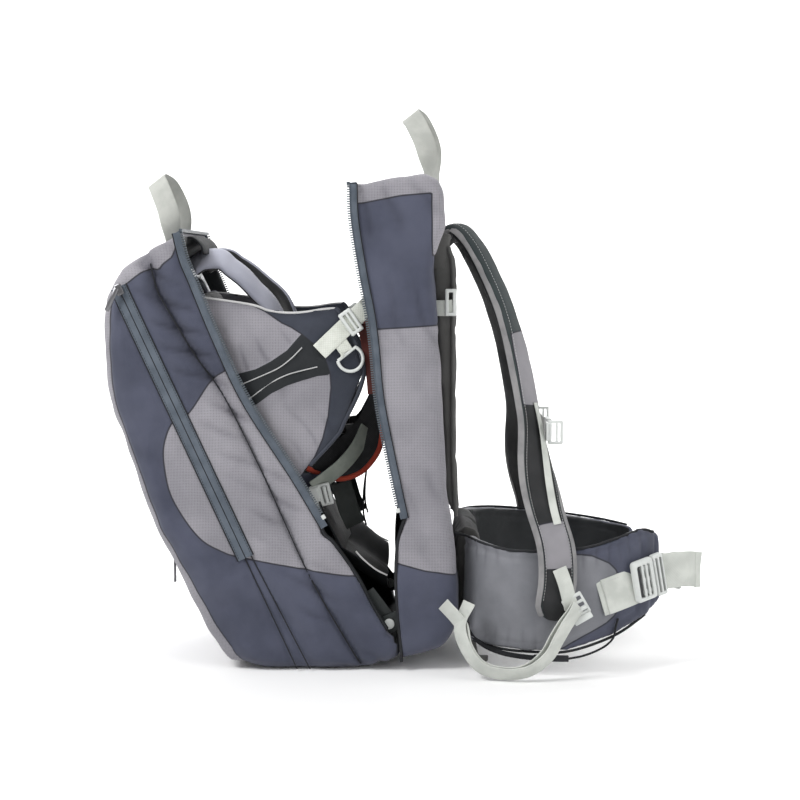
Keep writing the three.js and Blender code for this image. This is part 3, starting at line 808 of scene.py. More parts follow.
def mouth_zip(section, body, line, mouth):
    """The tape, its teeth and its end stop, on both side edges and across the top edge of a section."""
    line = rounded_row(to_metres(line), 60)
    teeth_from = line[0]
    tail = (line[0] - line[1]) / np.linalg.norm(line[0] - line[1])
    line = np.vstack([line[0] + tail * 17 * MM, line[0] + tail * 8 * MM, line])
    run = run_of(line)
    aside = np.stack([-run[:, 1], run[:, 0]], axis=1) * mouth
    tape_width, tape_middle, teeth_middle = 10.6 * MM, -5.6 * MM, 1.2 * MM
    tapes, bars, seam_lines, stops = [], [], [], []
    for side in SIDES.values():
        y = side * (SHELL_HALF + 1.4 * MM)
        tape = on_side(line + aside * tape_middle, y)
        width = np.cross(np.gradient(tape, axis=0), (0, side, 0))
        tapes.append(ribbon("tape", tape, tape_width, 1.1 * MM, width))
        for shift in (1.4, 7.8):
            rib = on_side(line - aside * shift * MM, y + side * 0.6 * MM)
            tapes.append(ribbon("rib", rib, 1.6 * MM, 1.0 * MM, width))
        bars.append(on_side((line + aside * teeth_middle)[2:], y))
        stop = block("stop", (5.6 * MM, 3.4 * MM, 6.4 * MM), 0.9 * MM)
        at = teeth_from + tail * 4 * MM + aside[2] * 0.6 * MM
        stops.append(turned(stop, -math.degrees(math.atan2(tail[0], -tail[1])), "Y", (at[0], y, at[1])))
        seam = on_side(line - aside * 11.2 * MM, y + side * 0.2 * MM)
        seam_lines.append(cord_line("line", seam, 0.9 * MM, 6))
    ahead = np.array([0.85, 0.53]) if mouth < 0 else np.array([-0.99, -0.1])
    above = np.array([-ahead[1], ahead[0]]) * -mouth
    rows = []
    for shift in (tape_middle, teeth_middle):
        x, z = line[-1] + ahead * shift + above * 1.3 * MM
        rows.append(np.array([(x, y, z) for y in np.linspace(-SHELL_HALF, SHELL_HALF, 40)]))
    tapes.append(ribbon("lid", rows[0], tape_width, 1.1 * MM, (ahead[0], 0, ahead[1])))
    bars.append(rows[1])
    tape = joined(f"{section}_zip_tape", tapes)
    dress(tape, "tape", body, "zip_tape", f"{section}_mouth_zip")
    teeth = joined(f"{section}_zip_teeth", [tooth_row(f"teeth_{i}", bar) for i, bar in enumerate(bars)])
    dress(teeth, "teeth", body, "zip_tape")
    dress(joined(f"{section}_zip_seam", seam_lines), "black", body, "zip_tape")
    ends = joined(f"{section}_zip_stops", stops)
    smooth(ends, 40)
    dress(ends, "plastic", body, "pale_plastic")


def tooth_row(name, route, pitch=3.3 * MM):
    """Moulded zip teeth: one tooth modelled once, then copied along the route."""
    tooth = block("tooth", (4.4 * MM, 4.4 * MM, 1.9 * MM), 0)
    places = np.arange(pitch, reach_of(route)[-1], pitch)
    return row_of_copies(name, tooth, route, [(s - MM, s + MM) for s in places])


def weld(piece):
    select_only(piece)
    bpy.ops.object.mode_set(mode="EDIT")
    bpy.ops.mesh.select_all(action="SELECT")
    bpy.ops.mesh.remove_doubles(threshold=0.01 * MM)
    bpy.ops.mesh.normals_make_consistent(inside=False)
    bpy.ops.object.mode_set(mode="OBJECT")


def padded_strip(name, middle, across, width, thickness, marks, around=28, square=2.8):
    """A stuffed strap: middle is its route, and width and thickness have a value for each point. marks gives
    "panel" and "lining" from the distance along and the places across and through, -0.5 to 0.5. square is how
    boxy its section is."""
    count = len(middle)
    bpy.ops.mesh.primitive_grid_add(
        x_subdivisions=around, y_subdivisions=count - 1, size=1, location=(0, 0, 0)
    )
    piece = bpy.context.object
    piece.name = piece.data.name = name
    flat = points(piece)
    turn = (flat[:, 0] + 0.5) * 2 * math.pi
    row = np.rint((flat[:, 1] + 0.5) * (count - 1)).astype(int)
    run = run_of(middle)
    wide = square_to(across, run)
    out = np.cross(run, wide)
    aside = np.sign(np.cos(turn)) * np.abs(np.cos(turn)) ** (2 / square) / 2
    lift = np.sign(np.sin(turn)) * np.abs(np.sin(turn)) ** (2 / square) / 2
    thick = np.array(thickness, float)
    thick[0] = thick[-1] = 0
    co = middle[row] + wide[row] * (aside * width[row])[:, None] + out[row] * (lift * thick[row])[:, None]
    move_points(piece, co)
    panel, lining = marks(reach_of(middle)[row] / MM, aside, lift)
    mark(piece, "panel", np.broadcast_to(panel, len(co)))
    mark(piece, "lining", np.broadcast_to(lining, len(co)))
    weld(piece)
    smooth(piece)
    return piece


def turned(piece, degrees, axis, at=(0, 0, 0)):
    """Turns a piece's own points about the middle of the frame and then moves them to a place."""
    piece.data.transform(Matrix.Rotation(math.radians(degrees), 4, axis))
    piece.data.transform(Matrix.Translation(Vector(at)))
    return piece


def block(name, size, bevel, at=(0, 0, 0), segments=3):
    """A box with rounded edges; the size is in metres."""
    bpy.ops.mesh.primitive_cube_add(size=1, location=(0, 0, 0))
    piece = bpy.context.object
    piece.name = piece.data.name = name
    move_points(piece, points(piece) * size + at)
    if bevel:
        apply_modifier(piece, "BEVEL", width=bevel, segments=segments, limit_method="NONE")
    return piece


def round_edges(piece, width, segments=2):
    """Rounds a hard piece's edges, and leaves its gentle curves alone."""
    angle = math.radians(40)
    apply_modifier(piece, "BEVEL", width=width, segments=segments, limit_method="ANGLE", angle_limit=angle)


def cut_out(piece, *tools):
    for tool in tools:
        apply_modifier(piece, "BOOLEAN", object=tool, operation="DIFFERENCE", solver="EXACT")
        bpy.data.objects.remove(tool)
    return piece


def window_frame(name, length, height, thickness, windows, rim, bevel=0.7 * MM):
    """A flat frame with rounded corners, lying along X. Each window is [x0, x1] in millimetres, and rim is
    the material above and below them."""
    piece = block(name, (length, thickness, height), 0)
    apply_modifier(piece, "BEVEL", width=0.14 * min(length, height), segments=4, limit_method="ANGLE")
    for x0, x1 in windows:
        size = ((x1 - x0) * MM, 4 * thickness, height - 2 * rim)
        cut_out(piece, block("tool", size, 0, ((x0 + x1) / 2 * MM, 0, 0)))
    round_edges(piece, bevel)
    smooth(piece, 40)
    return piece


def hard_copy(node, name, paint, body, slot, bevel=0.5 * MM):
    """A moulded or metal CAD piece with its edges rounded."""
    piece = copy_node(node, name)
    round_edges(piece, bevel)
    smooth(piece, 40)
    return dress(piece, paint, body, slot, node)


# ---------- trims of the two sections ----------
def side_height(flat, rim, rounding):
    """How far from the middle a section's side panel lies at [x, z] places, near its rounded rim as well."""
    inward = np.minimum(along(rim, flat)[0], rounding)
    return SHELL_HALF - rounding + np.sqrt(np.maximum(rounding**2 - (rounding - inward) ** 2, 0))


def rear_rim():
    return np.vstack([rounded_row(to_metres(REAR_BACK), 60), to_metres(REAR_BASE)])


def pocket_zip(label, side):
    """Two ribbed tapes either side of a covered coil, with dark edges, on a side of the big outer pocket."""
    line = resample(to_metres(POCKET_ZIP), np.linspace(0, 0.4148, 70))
    run = np.array([173, -377]) / math.hypot(173, 377)
    aside = np.array([-run[1], run[0]])
    rim = rear_rim()

    def placed(shift, lift):
        row = line + aside * shift * MM
        height = side_height(row, rim, REAR_ROUND) + lift * MM
        return np.stack([row[:, 0], side * height, row[:, 1]], axis=1)

    across = (aside[0], 0, aside[1])
    tapes = [ribbon("tape", placed(s, 1.1), 10.2 * MM, 0.9 * MM, across) for s in (-5.8, 5.8)]
    tape = joined(f"pocket_zip_tapes_{label}", tapes)
    dress(tape, "tape", "rear_half", "zip_tape", f"pocket_zip_tape_{label}")
    places = ((-11.6, 1.2), (0, 0.9), (11.6, 1.2))
    lines = [cord_line("line", placed(shift, lift), 1.0 * MM, 6) for shift, lift in places]
    dress(joined(f"pocket_zip_edges_{label}", lines), "black", "rear_half", "zip_tape")
    if side == RIGHT:
        rows = [stitches("stitch", placed(s, 1.7)) for s in (-9.2, 9.2)]
        dress(joined("pocket_zip_stitching", rows), "thread_dark", "rear_half", "zip_tape")


def throat_binding(name, row, body):
    """Dark binding round the cloth's thick edge, below the mouth zip on both sides."""
    parts = []
    for side in SIDES.values():
        line = rounded_row(to_metres(row), 30)
        for inset in (0.4, 9.6):
            parts.append(cord_line("binding", on_side(line, side * (SHELL_HALF - inset * MM)), 2.3 * MM, 8))
        middle = on_side(line, side * (SHELL_HALF - 5 * MM))
        parts.append(ribbon("web", middle, 10.5 * MM, 3.6 * MM, (0, 1, 0)))
    dress(joined(name, parts), "black", body, "navy_fabric")


HAUL_LOOP = [
    (0, -34, -9), (3, -35, 40), (-3, -25, 77), (-7, -9, 90), (-3, 9, 90), (6, 25, 77), (12, 35, 40),
    (4, 34, -9),
]


def haul_loop(section, body, x, z, lean):
    """A standing webbing loop with a slight twist, sewn to the top of a section at x, z."""
    local = np.array(HAUL_LOOP)
    c, s = math.cos(math.radians(lean)), math.sin(math.radians(lean))
    ahead, up = local[:, 0] * c + local[:, 2] * s, local[:, 2] * c - local[:, 0] * s
    row = np.stack([ahead + x, local[:, 1], up + z], axis=1)
    middle = route(row, 90)
    t = np.linspace(0, 1, 90)
    tilt = np.radians(34 * bell(t - 0.46, 0.2) + 4)
    sewn = 1.5 * (bell(t, 0.13) + bell(1 - t, 0.13))
    across = np.stack([np.cos(tilt), sewn, np.sin(tilt)], axis=1)
    loop = ribbon(f"{section}_haul_loop_webbing", middle, HAUL_WEB, 1.8 * MM, across)
    dress(loop, "pale", body, "pale_webbing", f"{section}_haul_loop")


REAR_TUBE = [(-46, 84), (-84, 140), (-140, 218), (-190, 298), (-238, 382), (-276, 462)]
FRONT_TUBE = [(44, 98), (38, 200), (32, 300), (25, 430), (21, 530), (19, 590)]


def frame_tube(section, body, side_row, top):
    """One bent tube: up the right side, across the top and down the left."""
    x0, z0 = side_row[-1]
    corner = [(0.97, 0.55), (0.86, 0.88), (0.66, 1)]
    right = [(x, -141, z) for x, z in side_row]
    right += [(x0 + (top[0] - x0) * up, -141 * out, z0 + (top[1] - z0) * up) for out, up in corner]
    left = [(x, -y, z) for x, y, z in reversed(right)]
    tube = cord_line(f"{section}_frame_tube_bent", route(right + left, 150), 8 * MM, 28)
    dress(tube, "alloy", body, "alloy", f"{section}_frame_tube")


# ---------- back padding ----------
def back_pad():
    """The ribbed pad on the wearer's back, its edge piping and the yoke that joins it to the top."""
    piece = cloth_copy("back_pad", "back_pad_cushion", 4.2 * MM)
    puff(piece, 4.0, 3 * MM)
    co, n = points(piece), normals(piece)
    facing = np.clip(n[:, 0], 0, 1)
    seams = np.minimum.reduce([np.abs(co[:, 2] - z) for z in (0.295, 0.385, 0.475, 0.545)])
    spine = np.abs(co[:, 1])
    groove = 3.6 * MM * bell(seams, 4.5 * MM) + 6 * MM * bell(spine, 12 * MM)
    groove += 2.4 * MM * bell(spine - 0.09, 4 * MM)
    groove *= smoothstep(0.124 - spine, 0, 30 * MM)
    co += n * ((0.8 * MM * ripples(co, 0.05, 31) - groove) * facing)[:, None]
    move_points(piece, co)
    mark(piece, "panel", (spine - 0.09) / MM)
    mark(piece, "lining", (0.07 - spine) / MM)
    dress(piece, "pad", "front_half", "pad_fabric", "back_pad")
    edges = []
    row = route([
        (79, -126, 212), (75, -126.5, 300), (74.5, -126.5, 440), (74, -126.5, 560), (68, -126, 592),
    ], 70)
    for side in SIDES.values():
        edges.append(cord_line("edge", sided(row, side), 3.0 * MM, 8))
    dress(joined("back_pad_piping", edges), "pad_piping", "front_half", "pad_fabric")
    row = route([(55, 0, 560), (58, 0, 590), (61, 0, 612)], 14)
    yoke = ribbon("back_pad_yoke", row, 252 * MM, 22 * MM, (0, 1, 0))
    dress(yoke, "pad_piping", "front_half", "pad_fabric")


def lumbar_pad():
    """The small pad low on the back, and its dark lower edge under the wings' inner ends."""
    low = route([(99, -138, 63), (101, -138, 46), (104, -138, 29), (109, -140, 13), (124, -144, 12)], 24)
    edges = [ribbon("edge", sided(low, side), 9 * MM, 8 * MM, (0.25, 1, 0)) for side in SIDES.values()]
    dress(joined("lumbar_lower_edge", edges), "pad_piping", "front_half", "pad_fabric")
    piece = cloth_copy("lumbar_pad", "lumbar_cushion", 4.2 * MM)
    puff(piece, 4.5, 6 * MM)
    co, n = points(piece), normals(piece)
    groove = 3 * MM * bell(np.abs(co[:, 1]) - 0.045, 4 * MM)
    co += n * ((0.8 * MM * ripples(co, 0.05, 33) - groove) * np.clip(n[:, 0], 0, 1))[:, None]
    move_points(piece, co)
    mark(piece, "panel", -5 + 0 * co[:, 0])
    mark(piece, "lining", (0.09 - np.abs(co[:, 1])) / MM)
    dress(piece, "pad", "front_half", "pad_fabric", "lumbar_pad")


# ---------- hip belt ----------
WING_PATH = [(99, -114), (120, -152), (160, -182), (215, -190), (275, -182), (325, -160), (363, -129)]
WING_GREY = [
    (60, 230), (200, 215), (236, 171), (266, 167), (290, 156), (301, 145), (309, 120), (309, 97), (299, 81),
    (288, 72), (255, 55), (226, 38), (180, 10), (60, 10),
]
WING_TOP = {
    "right": [(84, 187), (155, 174), (245, 177), (290, 187), (332, 198), (352, 193)],
    "left": [(84, 189), (155, 182), (245, 172), (310, 165), (352, 159)],
}
WING_BOTTOM = [(340, 77), (296, 53), (233, 34), (180, 33), (130, 35), (86, 42)]


def wing_point(x, out, side):
    """The point on the hip wing's outside at a place along X, with its outward direction."""
    path = rounded_row(np.array(WING_PATH, float), 120)
    y = np.interp(x, path[:, 0], path[:, 1])
    slope = np.interp(x, path[:, 0], np.gradient(path[:, 1], path[:, 0]))
    normal = np.array([slope, -1.0]) / math.hypot(slope, 1)
    return np.array([x + normal[0] * out, -side * (y + normal[1] * out)])


def hip_wing(label, side):
    """A padded wing of the hip belt: navy with a grey panel outside, dark lining inside, and piped edges."""
    piece = cloth_copy(f"hip_wing_{label}", f"hip_wing_cushion_{label}", 3.8 * MM)
    puff(piece, 4.0, 1.6 * MM)
    co, n = points(piece), normals(piece)
    path = rounded_row(to_metres(WING_PATH), 80)
    distance, _, where = along(path, np.stack([co[:, 0], -side * co[:, 1]], axis=1))
    outer = np.sign(where) * distance * -1
    face = smoothstep(np.abs(outer), 4 * MM, 8 * MM) * np.sign(outer)
    flat = co[:, [0, 2]]
    edge = along(np.vstack([to_metres(WING_TOP[label]), to_metres(WING_BOTTOM)]), flat)[0]
    panel = within(to_metres(WING_GREY), flat)
    lift = 1.0 * MM * ripples(co, 0.045, 41) + 1.4 * MM * ripples(co, 0.11, 42)
    lift -= 2.2 * MM * bell(edge - 11 * MM, 3 * MM)
    lift -= 1.6 * MM * bell(panel, 2.6 * MM) * (face > 0)
    wave = co[:, 0] * 2 * math.pi / (17 * MM) + 2 * ripples(co, 0.07, 43)
    share = np.clip(ripples(co, 0.08, 44) + 0.3, 0, 1)
    fold = fold_marks(wave, 0.35) * bell(edge - 16 * MM, 15 * MM) * share
    lift -= 1.3 * MM * fold * (face > 0)
    move_points(piece, co + n * (lift * np.abs(face))[:, None])
    mark(piece, "panel", np.where(outer > 0, panel / MM, -5))
    mark(piece, "lining", -outer / MM - 5)
    # Painted shade, stored in "crease": dark in the fold marks outside and along the top and bottom edges.
    mark(piece, "crease", np.clip(0.4 * fold * (face > 0) + 0.4 * bell(edge, 8 * MM), 0, 1))
    dress(piece, "hip", "front_half", "grey_ripstop", f"hip_wing_{label}")
    trims = []
    for row in (WING_TOP[label], WING_BOTTOM):
        line = [(*wing_point(min(x, 362), 6.5, side), z) for x, z in rounded_row(row, 60)]
        trims.append(cord_line("edge", to_metres(line), 2.0 * MM, 8))
    dress(joined(f"hip_wing_piping_{label}", trims), "black", "front_half", "grey_ripstop")


def wing_row(row, out, side):
    """A row of [x, z] points in millimetres, laid at a height on the outside of a hip wing, in metres."""
    return to_metres([(*wing_point(x, out, side), z) for x, z in row])


def wing_strap(name, side, x0, x1, z0, z1, width, out):
    """Webbing laid straight along the outside of a hip wing from x0 to x1, in millimetres."""
    row = np.stack([np.linspace(x0, x1, 24), np.linspace(z0, z1, 24)], axis=1)
    rise = math.atan2(z1 - z0, x1 - x0)
    return ribbon(name, wing_row(row, out, side), width, 1.8 * MM, (-math.sin(rise), 0, math.cos(rise)))


BUCKLE_TURN, BUCKLE_RISE, BUCKLE_OUT = 31, 12, 7  # degrees, degrees and millimetres
BUCKLE_MIDDLE = Vector((
    336 + BUCKLE_OUT * math.sin(math.radians(BUCKLE_TURN)),
    -168 - BUCKLE_OUT * math.cos(math.radians(BUCKLE_TURN)),
    130,
)) * MM


def on_buckle(piece):
    """Moves a piece modelled about the frame's middle to the waist buckle's place."""
    piece.data.transform(Matrix.Rotation(math.radians(-BUCKLE_RISE), 4, "Y"))
    return turned(piece, BUCKLE_TURN, "Z", BUCKLE_MIDDLE)


def waist_buckle():
    """The side-release buckle: a hollow socket with two bars, and a plug with three prongs and a frame."""
    mm = np.array
    body = block("socket", mm((37, 12.4, 60)) * MM, 0)
    apply_modifier(body, "BEVEL", width=6 * MM, segments=5, limit_method="ANGLE")
    cut_out(
        body,
        block("t", mm((40, 6.8, 48)) * MM, 0, mm((8, 0, 0)) * MM),
        block("t", mm((23, 12, 46)) * MM, 2.5 * MM, mm((-1.5, -8, 0)) * MM, 2),
    )
    round_edges(body, 0.8 * MM, 3)
    bars = [block("bar", mm((4.4, 4, 48)) * MM, 1.2 * MM, mm((x, -3.4, 0)) * MM) for x in (-3, 4.5)]
    body = joined("waist_socket", [body, *bars])
    smooth(body, 35)
    dress(on_buckle(body), "plastic", "front_half", "pale_plastic", "hip_buckle_socket")
    wrap = block("waist_socket_webbing", mm((6, 2.6, 43)) * MM, 0.8 * MM, mm((-9.6, -3, 0)) * MM)
    dress(on_buckle(wrap), "dark_plastic", "front_half", "pale_plastic")
    windows = [(-5.4, -1.4), (1.8, 5.4)]
    frame_part = window_frame("plug", 17 * MM, 60 * MM, 10.5 * MM, windows, 5 * MM, 1.1 * MM)
    frame_part.data.transform(Matrix.Translation((26.8 * MM, 0, 0)))
    prongs = [block("prong", mm((27, 5.2, 7)) * MM, 1.2 * MM, mm((6.5, 0, z)) * MM) for z in (-17, 0, 17)]
    plug = joined("waist_plug", [frame_part, *prongs])
    smooth(plug, 35)
    dress(on_buckle(plug), "plastic", "waist_release", "pale_plastic", "hip_buckle_plug")


def hip_tab(label, side, drop):
    """The doubled webbing tab sewn to a hip wing, drop millimetres lower than the right one."""
    tab = wing_strap("tab", side, 274, 322, 107 - drop, 122 - drop, BELT_WEB, 11.2)
    inner = wing_strap("tab", side, 280, 322, 109 - drop, 122 - drop, BELT_WEB, 12.8)
    stitched = 14.2
    rows = []
    for shift in (-22, 22):
        row = [(x, 107 - drop + shift + (x - 274) * 0.31) for x in np.linspace(281, 300, 14)]
        rows.append(stitches("stitch", wing_row(row, stitched, side)))
    seam = [(281 - 0.21 * z, 109 - drop + z) for z in np.linspace(-22, 22, 20)]
    rows.append(stitches("stitch", wing_row(seam, stitched, side)))
    dress(joined(f"hip_tab_stitching_{label}", rows), "thread", "front_half", "pale_webbing")
    webbing = joined(f"hip_tab_webbing_{label}", [tab, inner])
    dress(webbing, "bright", "front_half", "pale_webbing", f"hip_wing_tab_{label}")


def hip_belt():
    """The belt's webbing, from the left wing's adjuster round the front to the right wing's buckle."""
    left_drop = 24
    waist_buckle()
    hip_tab("right", RIGHT, 0)
    hip_tab("left", LEFT, left_drop)
    windows = [(-8, -3), (2, 7)]
    adjuster = window_frame("hip_adjuster_frame", 25 * MM, 60 * MM, 7 * MM, windows, 5 * MM, 1.2 * MM)
    adjuster.data.transform(Matrix.Translation((22 * MM, 0, 0)))
    on_buckle(adjuster)
    adjuster.data.transform(Matrix.Scale(-1, 4, (0, 1, 0)))
    adjuster.data.transform(Matrix.Translation((0, 0, -left_drop * MM)))
    weld(adjuster)
    dress(adjuster, "plastic", "front_half", "pale_plastic", "hip_adjuster_left")
    front = route([
        (364, -150.5, 136), (375, -146, 138), (391, -128, 137), (404, -94, 130), (409, -40, 117),
        (409, 40, 105), (404, 92, 98), (391, 126, 98), (375, 146, 102), (364, 150.5, 104),
    ], 150)
    belt = ribbon("hip_belt_strap", front, BELT_WEB, 1.9 * MM, (0, 0, 1))
    dress(belt, "bright", None, "pale_webbing", "hip_belt_webbing")
    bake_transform(belt)
    tail = route([(368, -152.5, 137), (384, -149, 139), (404, -142, 140), (425, -131, 137)], 40)
    fold = ribbon("hip_belt_tail", tail, BELT_WEB, 1.9 * MM, (0, 0, 1))
    hem = turned(block("hem", (9 * MM, 4.4 * MM, BELT_WEB), 1 * MM), 28, "Z", (421 * MM, -133 * MM, 137 * MM))
    dress(joined("hip_belt_tail", [fold, hem]), "bright", "waist_release", "pale_webbing")


def belt_bottom():
    """The dark strap under each hip wing, the sleeve at its end and the cord that runs on from it."""
    low = rounded_row([(97, 73), (106, 55), (118, 40), (140, 31), (168, 27), (200, 25), (232, 25)], 60)
    end = rounded_row([(186, 26), (232, 25)], 16)
    cord = rounded_row([(232, 25), (250, 28), (268, 34), (283, 42), (292, 52), (295, 67), (298, 78)], 60)
    for label, side in SIDES.items():
        band = ribbon("band", wing_row(low, 11.5, side), 7 * MM, 2.2 * MM, (0, 0, 1))
        sleeve = ribbon("sleeve", wing_row(end, 12.5, side), 9 * MM, 4 * MM, (0, 0, 1))
        parts = [band, sleeve, cord_line("cord", wing_row(cord, 12.5, side), 1.6 * MM, 8)]
        dress(joined(f"hip_lower_strap_{label}", parts), "black", "front_half", "strap_fabric")


# ---------- shoulder harness ----------
SHOULDER = [
    (56, -72, 598), (70, -72, 610), (84, -74, 615), (99, -78, 602), (116, -82, 575), (144, -88, 513),
    (167, -94, 439), (182, -104, 362), (190, -132, 294), (201, -180, 232), (214, -207, 184), (217, -212, 142),
    (213, -212, 106), (209, -211, 80),
]


def shoulder_strap(label, side):
    """A padded shoulder strap: bound edges, stitching, the sternum rail and the webbing at its foot."""
    count, wide = 170, 62
    middle = route(SHOULDER, count)
    t = np.linspace(0, 1, count)
    angle = np.radians(20 + 8 * smoothstep(t, 0.25, 0.42) + 54 * smoothstep(t, 0.5, 0.8))
    across = np.stack([np.sin(angle), np.cos(angle), np.zeros(count)], axis=1)
    tip = np.sqrt(np.clip((1 - t) / 0.035, 0, 1))
    width = wide * MM * (1 - 0.25 * smoothstep(t, 0.55, 0.8)) * (0.25 + 0.75 * tip)
    thick = 16 * MM * (1 - 0.45 * smoothstep(t, 0.55, 0.8)) + 6 * MM * (1 - smoothstep(t, 0.28, 0.46))
    thick *= np.clip(0.3 + 0.7 * tip, 0, 1)
    reach = t * length_of(middle) / MM
    heights = middle[:, 2] / MM

    def marks(s, aside, lift):
        """The outer face is green, grey, mesh, grey and mesh from the top down. The underside is mesh."""
        z = np.interp(s, reach, heights)
        late = s > 60
        grey = np.maximum(np.minimum(470 - z, z - 366), np.minimum(212 - z, z - 152))
        mesh = np.maximum(np.minimum(366 - z, z - 212), 152 - z)
        grey, mesh = np.where(late, grey, -9), np.where(late, mesh, -9)
        rim = (0.40 - np.abs(aside)) * wide
        return np.where(lift > 0, np.minimum(grey, rim), -5), np.where(lift > 0, np.minimum(mesh, rim), 5)

    middle, across = sided(middle, side), across * (1, -side, 1)
    piece = padded_strip(f"shoulder_strap_pad_{label}", middle, across * -side, width, thick, marks)
    co, n = points(piece), normals(piece)
    lift = 0.35 * MM * ripples(co, 0.04, 51) + 0.3 * MM * ripples(co, 0.09, 52)
    move_points(piece, co + n * lift[:, None])
    dress(piece, "strap", "front_half", "strap_fabric", f"shoulder_strap_{label}")
    out = unit(np.cross(run_of(middle), across) * -side)
    forward = np.where(out[:, :1] < 0, -1, 1) * out
    bindings, rows = [], []
    for edge in (-1, 1):
        rim = middle + across * (edge * (width / 2 + 0.5 * MM))[:, None] + forward * (1.0 * MM)
        turn_in = forward * 0.75 + across * -edge * 0.66
        bindings.append(ribbon("binding", rim[2:-2], 9 * MM, 1.6 * MM, turn_in[2:-2], camber=0.6 * MM))
        inner = middle + across * (edge * (width / 2 - 5.2 * MM))[:, None]
        inner = inner + forward * (thick / 2 + 0.1 * MM)[:, None]
        rows.append(stitches("stitch", inner[4:-8], radius=0.3 * MM))
    dress(joined(f"shoulder_binding_{label}", bindings), "grey_tape", "front_half", "strap_fabric")
    dress(joined(f"shoulder_stitching_{label}", rows), "thread", "front_half", "strap_fabric")

    def stretch(top, bottom):
        """The part of the strap between two heights in millimetres."""
        return slice(np.searchsorted(-heights, -top), np.searchsorted(-heights, -bottom))

    part = stretch(372, 208)
    sway = np.sin(np.linspace(0, math.pi, part.stop - part.start)) * 5 * MM
    rail = middle[part] + forward[part] * (thick[part] / 2 + 1.2 * MM + sway)[:, None] + across[part] * 9 * MM
    strip = ribbon(f"sternum_rail_{label}", rail, 11 * MM, 1.4 * MM, across[part])
    dress(strip, "bright", "front_half", "pale_webbing")
    part = stretch(156, 98)
    tape = middle[part] + forward[part] * (thick[part] / 2 + 1.6 * MM)[:, None]
    tape = tape + np.linspace(0, 1, part.stop - part.start)[:, None] * (22 * MM, side * 4 * MM, 0)
    lower = ribbon(f"shoulder_adjuster_webbing_{label}", tape, 20 * MM, 1.7 * MM, across[part])
    dress(lower, "bright", "front_half", "pale_webbing")


def shoulder_lock(label, side):
    """The ladder lock that hangs at a shoulder strap's foot."""
    windows = [(-11, -5.5), (-1.5, 4), (8, 11)]
    frame_part = window_frame("lock", 32 * MM, 30 * MM, 4 * MM, windows, 3.4 * MM, 1.0 * MM)
    lip = turned(block("lip", (9 * MM, 3 * MM, 27 * MM), 1.1 * MM), -28, "Z", (19 * MM, -4 * MM, 0))
    bar = cord_line("bar", to_metres([(7, -3.5, -12), (7, -3.5, 12)]), 2.6 * MM, 12)
    piece = joined(f"shoulder_lock_frame_{label}", [frame_part, lip, bar])
    turned(piece, 60, "Y", (241 * MM, -219 * MM, 102 * MM))
    if side == LEFT:
        piece.data.transform(Matrix.Scale(-1, 4, (0, 1, 0)))
        weld(piece)
    smooth(piece, 40)
    dress(piece, "plastic", f"lock_{label}", "pale_plastic", f"shoulder_lock_{label}")


LOOSE = [
    (243, -224, 104), (236, -228, 93), (226, -231, 80), (214, -232, 60), (200, -233, 36), (176, -234, 17),
    (146, -234, 11.5), (112, -228, 19), (92, -212, 42), (84, -196, 70),
]


def loose_webbing(label, side):
    """The two layers of slack webbing that hang in a loop from the lock, their cut ends standing apart."""
    count = 110
    t = np.linspace(0, 1, count)
    turn = np.radians(-20 - 140 * t)
    across = np.stack([np.cos(turn) * 0.75, 0.65 + 0 * t, np.sin(turn) * 0.75], axis=1) * (1, -side, 1)
    parts = []
    for lift, end in ((-1.4, (59, -186, 98)), (1.4, (97, -190, 101))):
        middle = sided(route([*LOOSE, end], count), side)
        out = unit(np.cross(np.gradient(middle, axis=0), across))
        apart = (lift + np.sign(lift) * (2.2 * np.sin(np.pi * np.clip(t * 2.2, 0, 1)))) * MM
        row = middle + out * apart[:, None]
        row[:, 2] = np.maximum(row[:, 2], 10 * MM)
        parts.append(ribbon("layer", row, SMALL_WEB, 1.6 * MM, across))
    piece = joined(f"shoulder_loose_webbing_{label}", parts)
    dress(piece, "bright", "front_half", "pale_webbing", f"shoulder_webbing_{label}")


def side_strap(label, side):
    """The short strap and its lock beside the back pad."""
    row = sided(route([(50, -131, 507), (60, -134.5, 507), (74, -136, 508)], 20), side)
    strap = ribbon(f"side_strap_webbing_{label}", row, 22 * MM, 1.8 * MM, (0, 0, 1))
    dress(strap, "bright", "front_half", "pale_webbing", f"side_strap_{label}")
    lock = window_frame("side_lock", 16 * MM, 38 * MM, 4 * MM, [(-3, 3)], 5 * MM, 1.0 * MM)
    lock.data.transform(Matrix.Translation((71 * MM, side * 137.6 * MM, 515 * MM)))
    lock.name = f"side_lock_frame_{label}"
    dress(lock, "plastic", "front_half", "pale_plastic", f"side_lock_{label}")


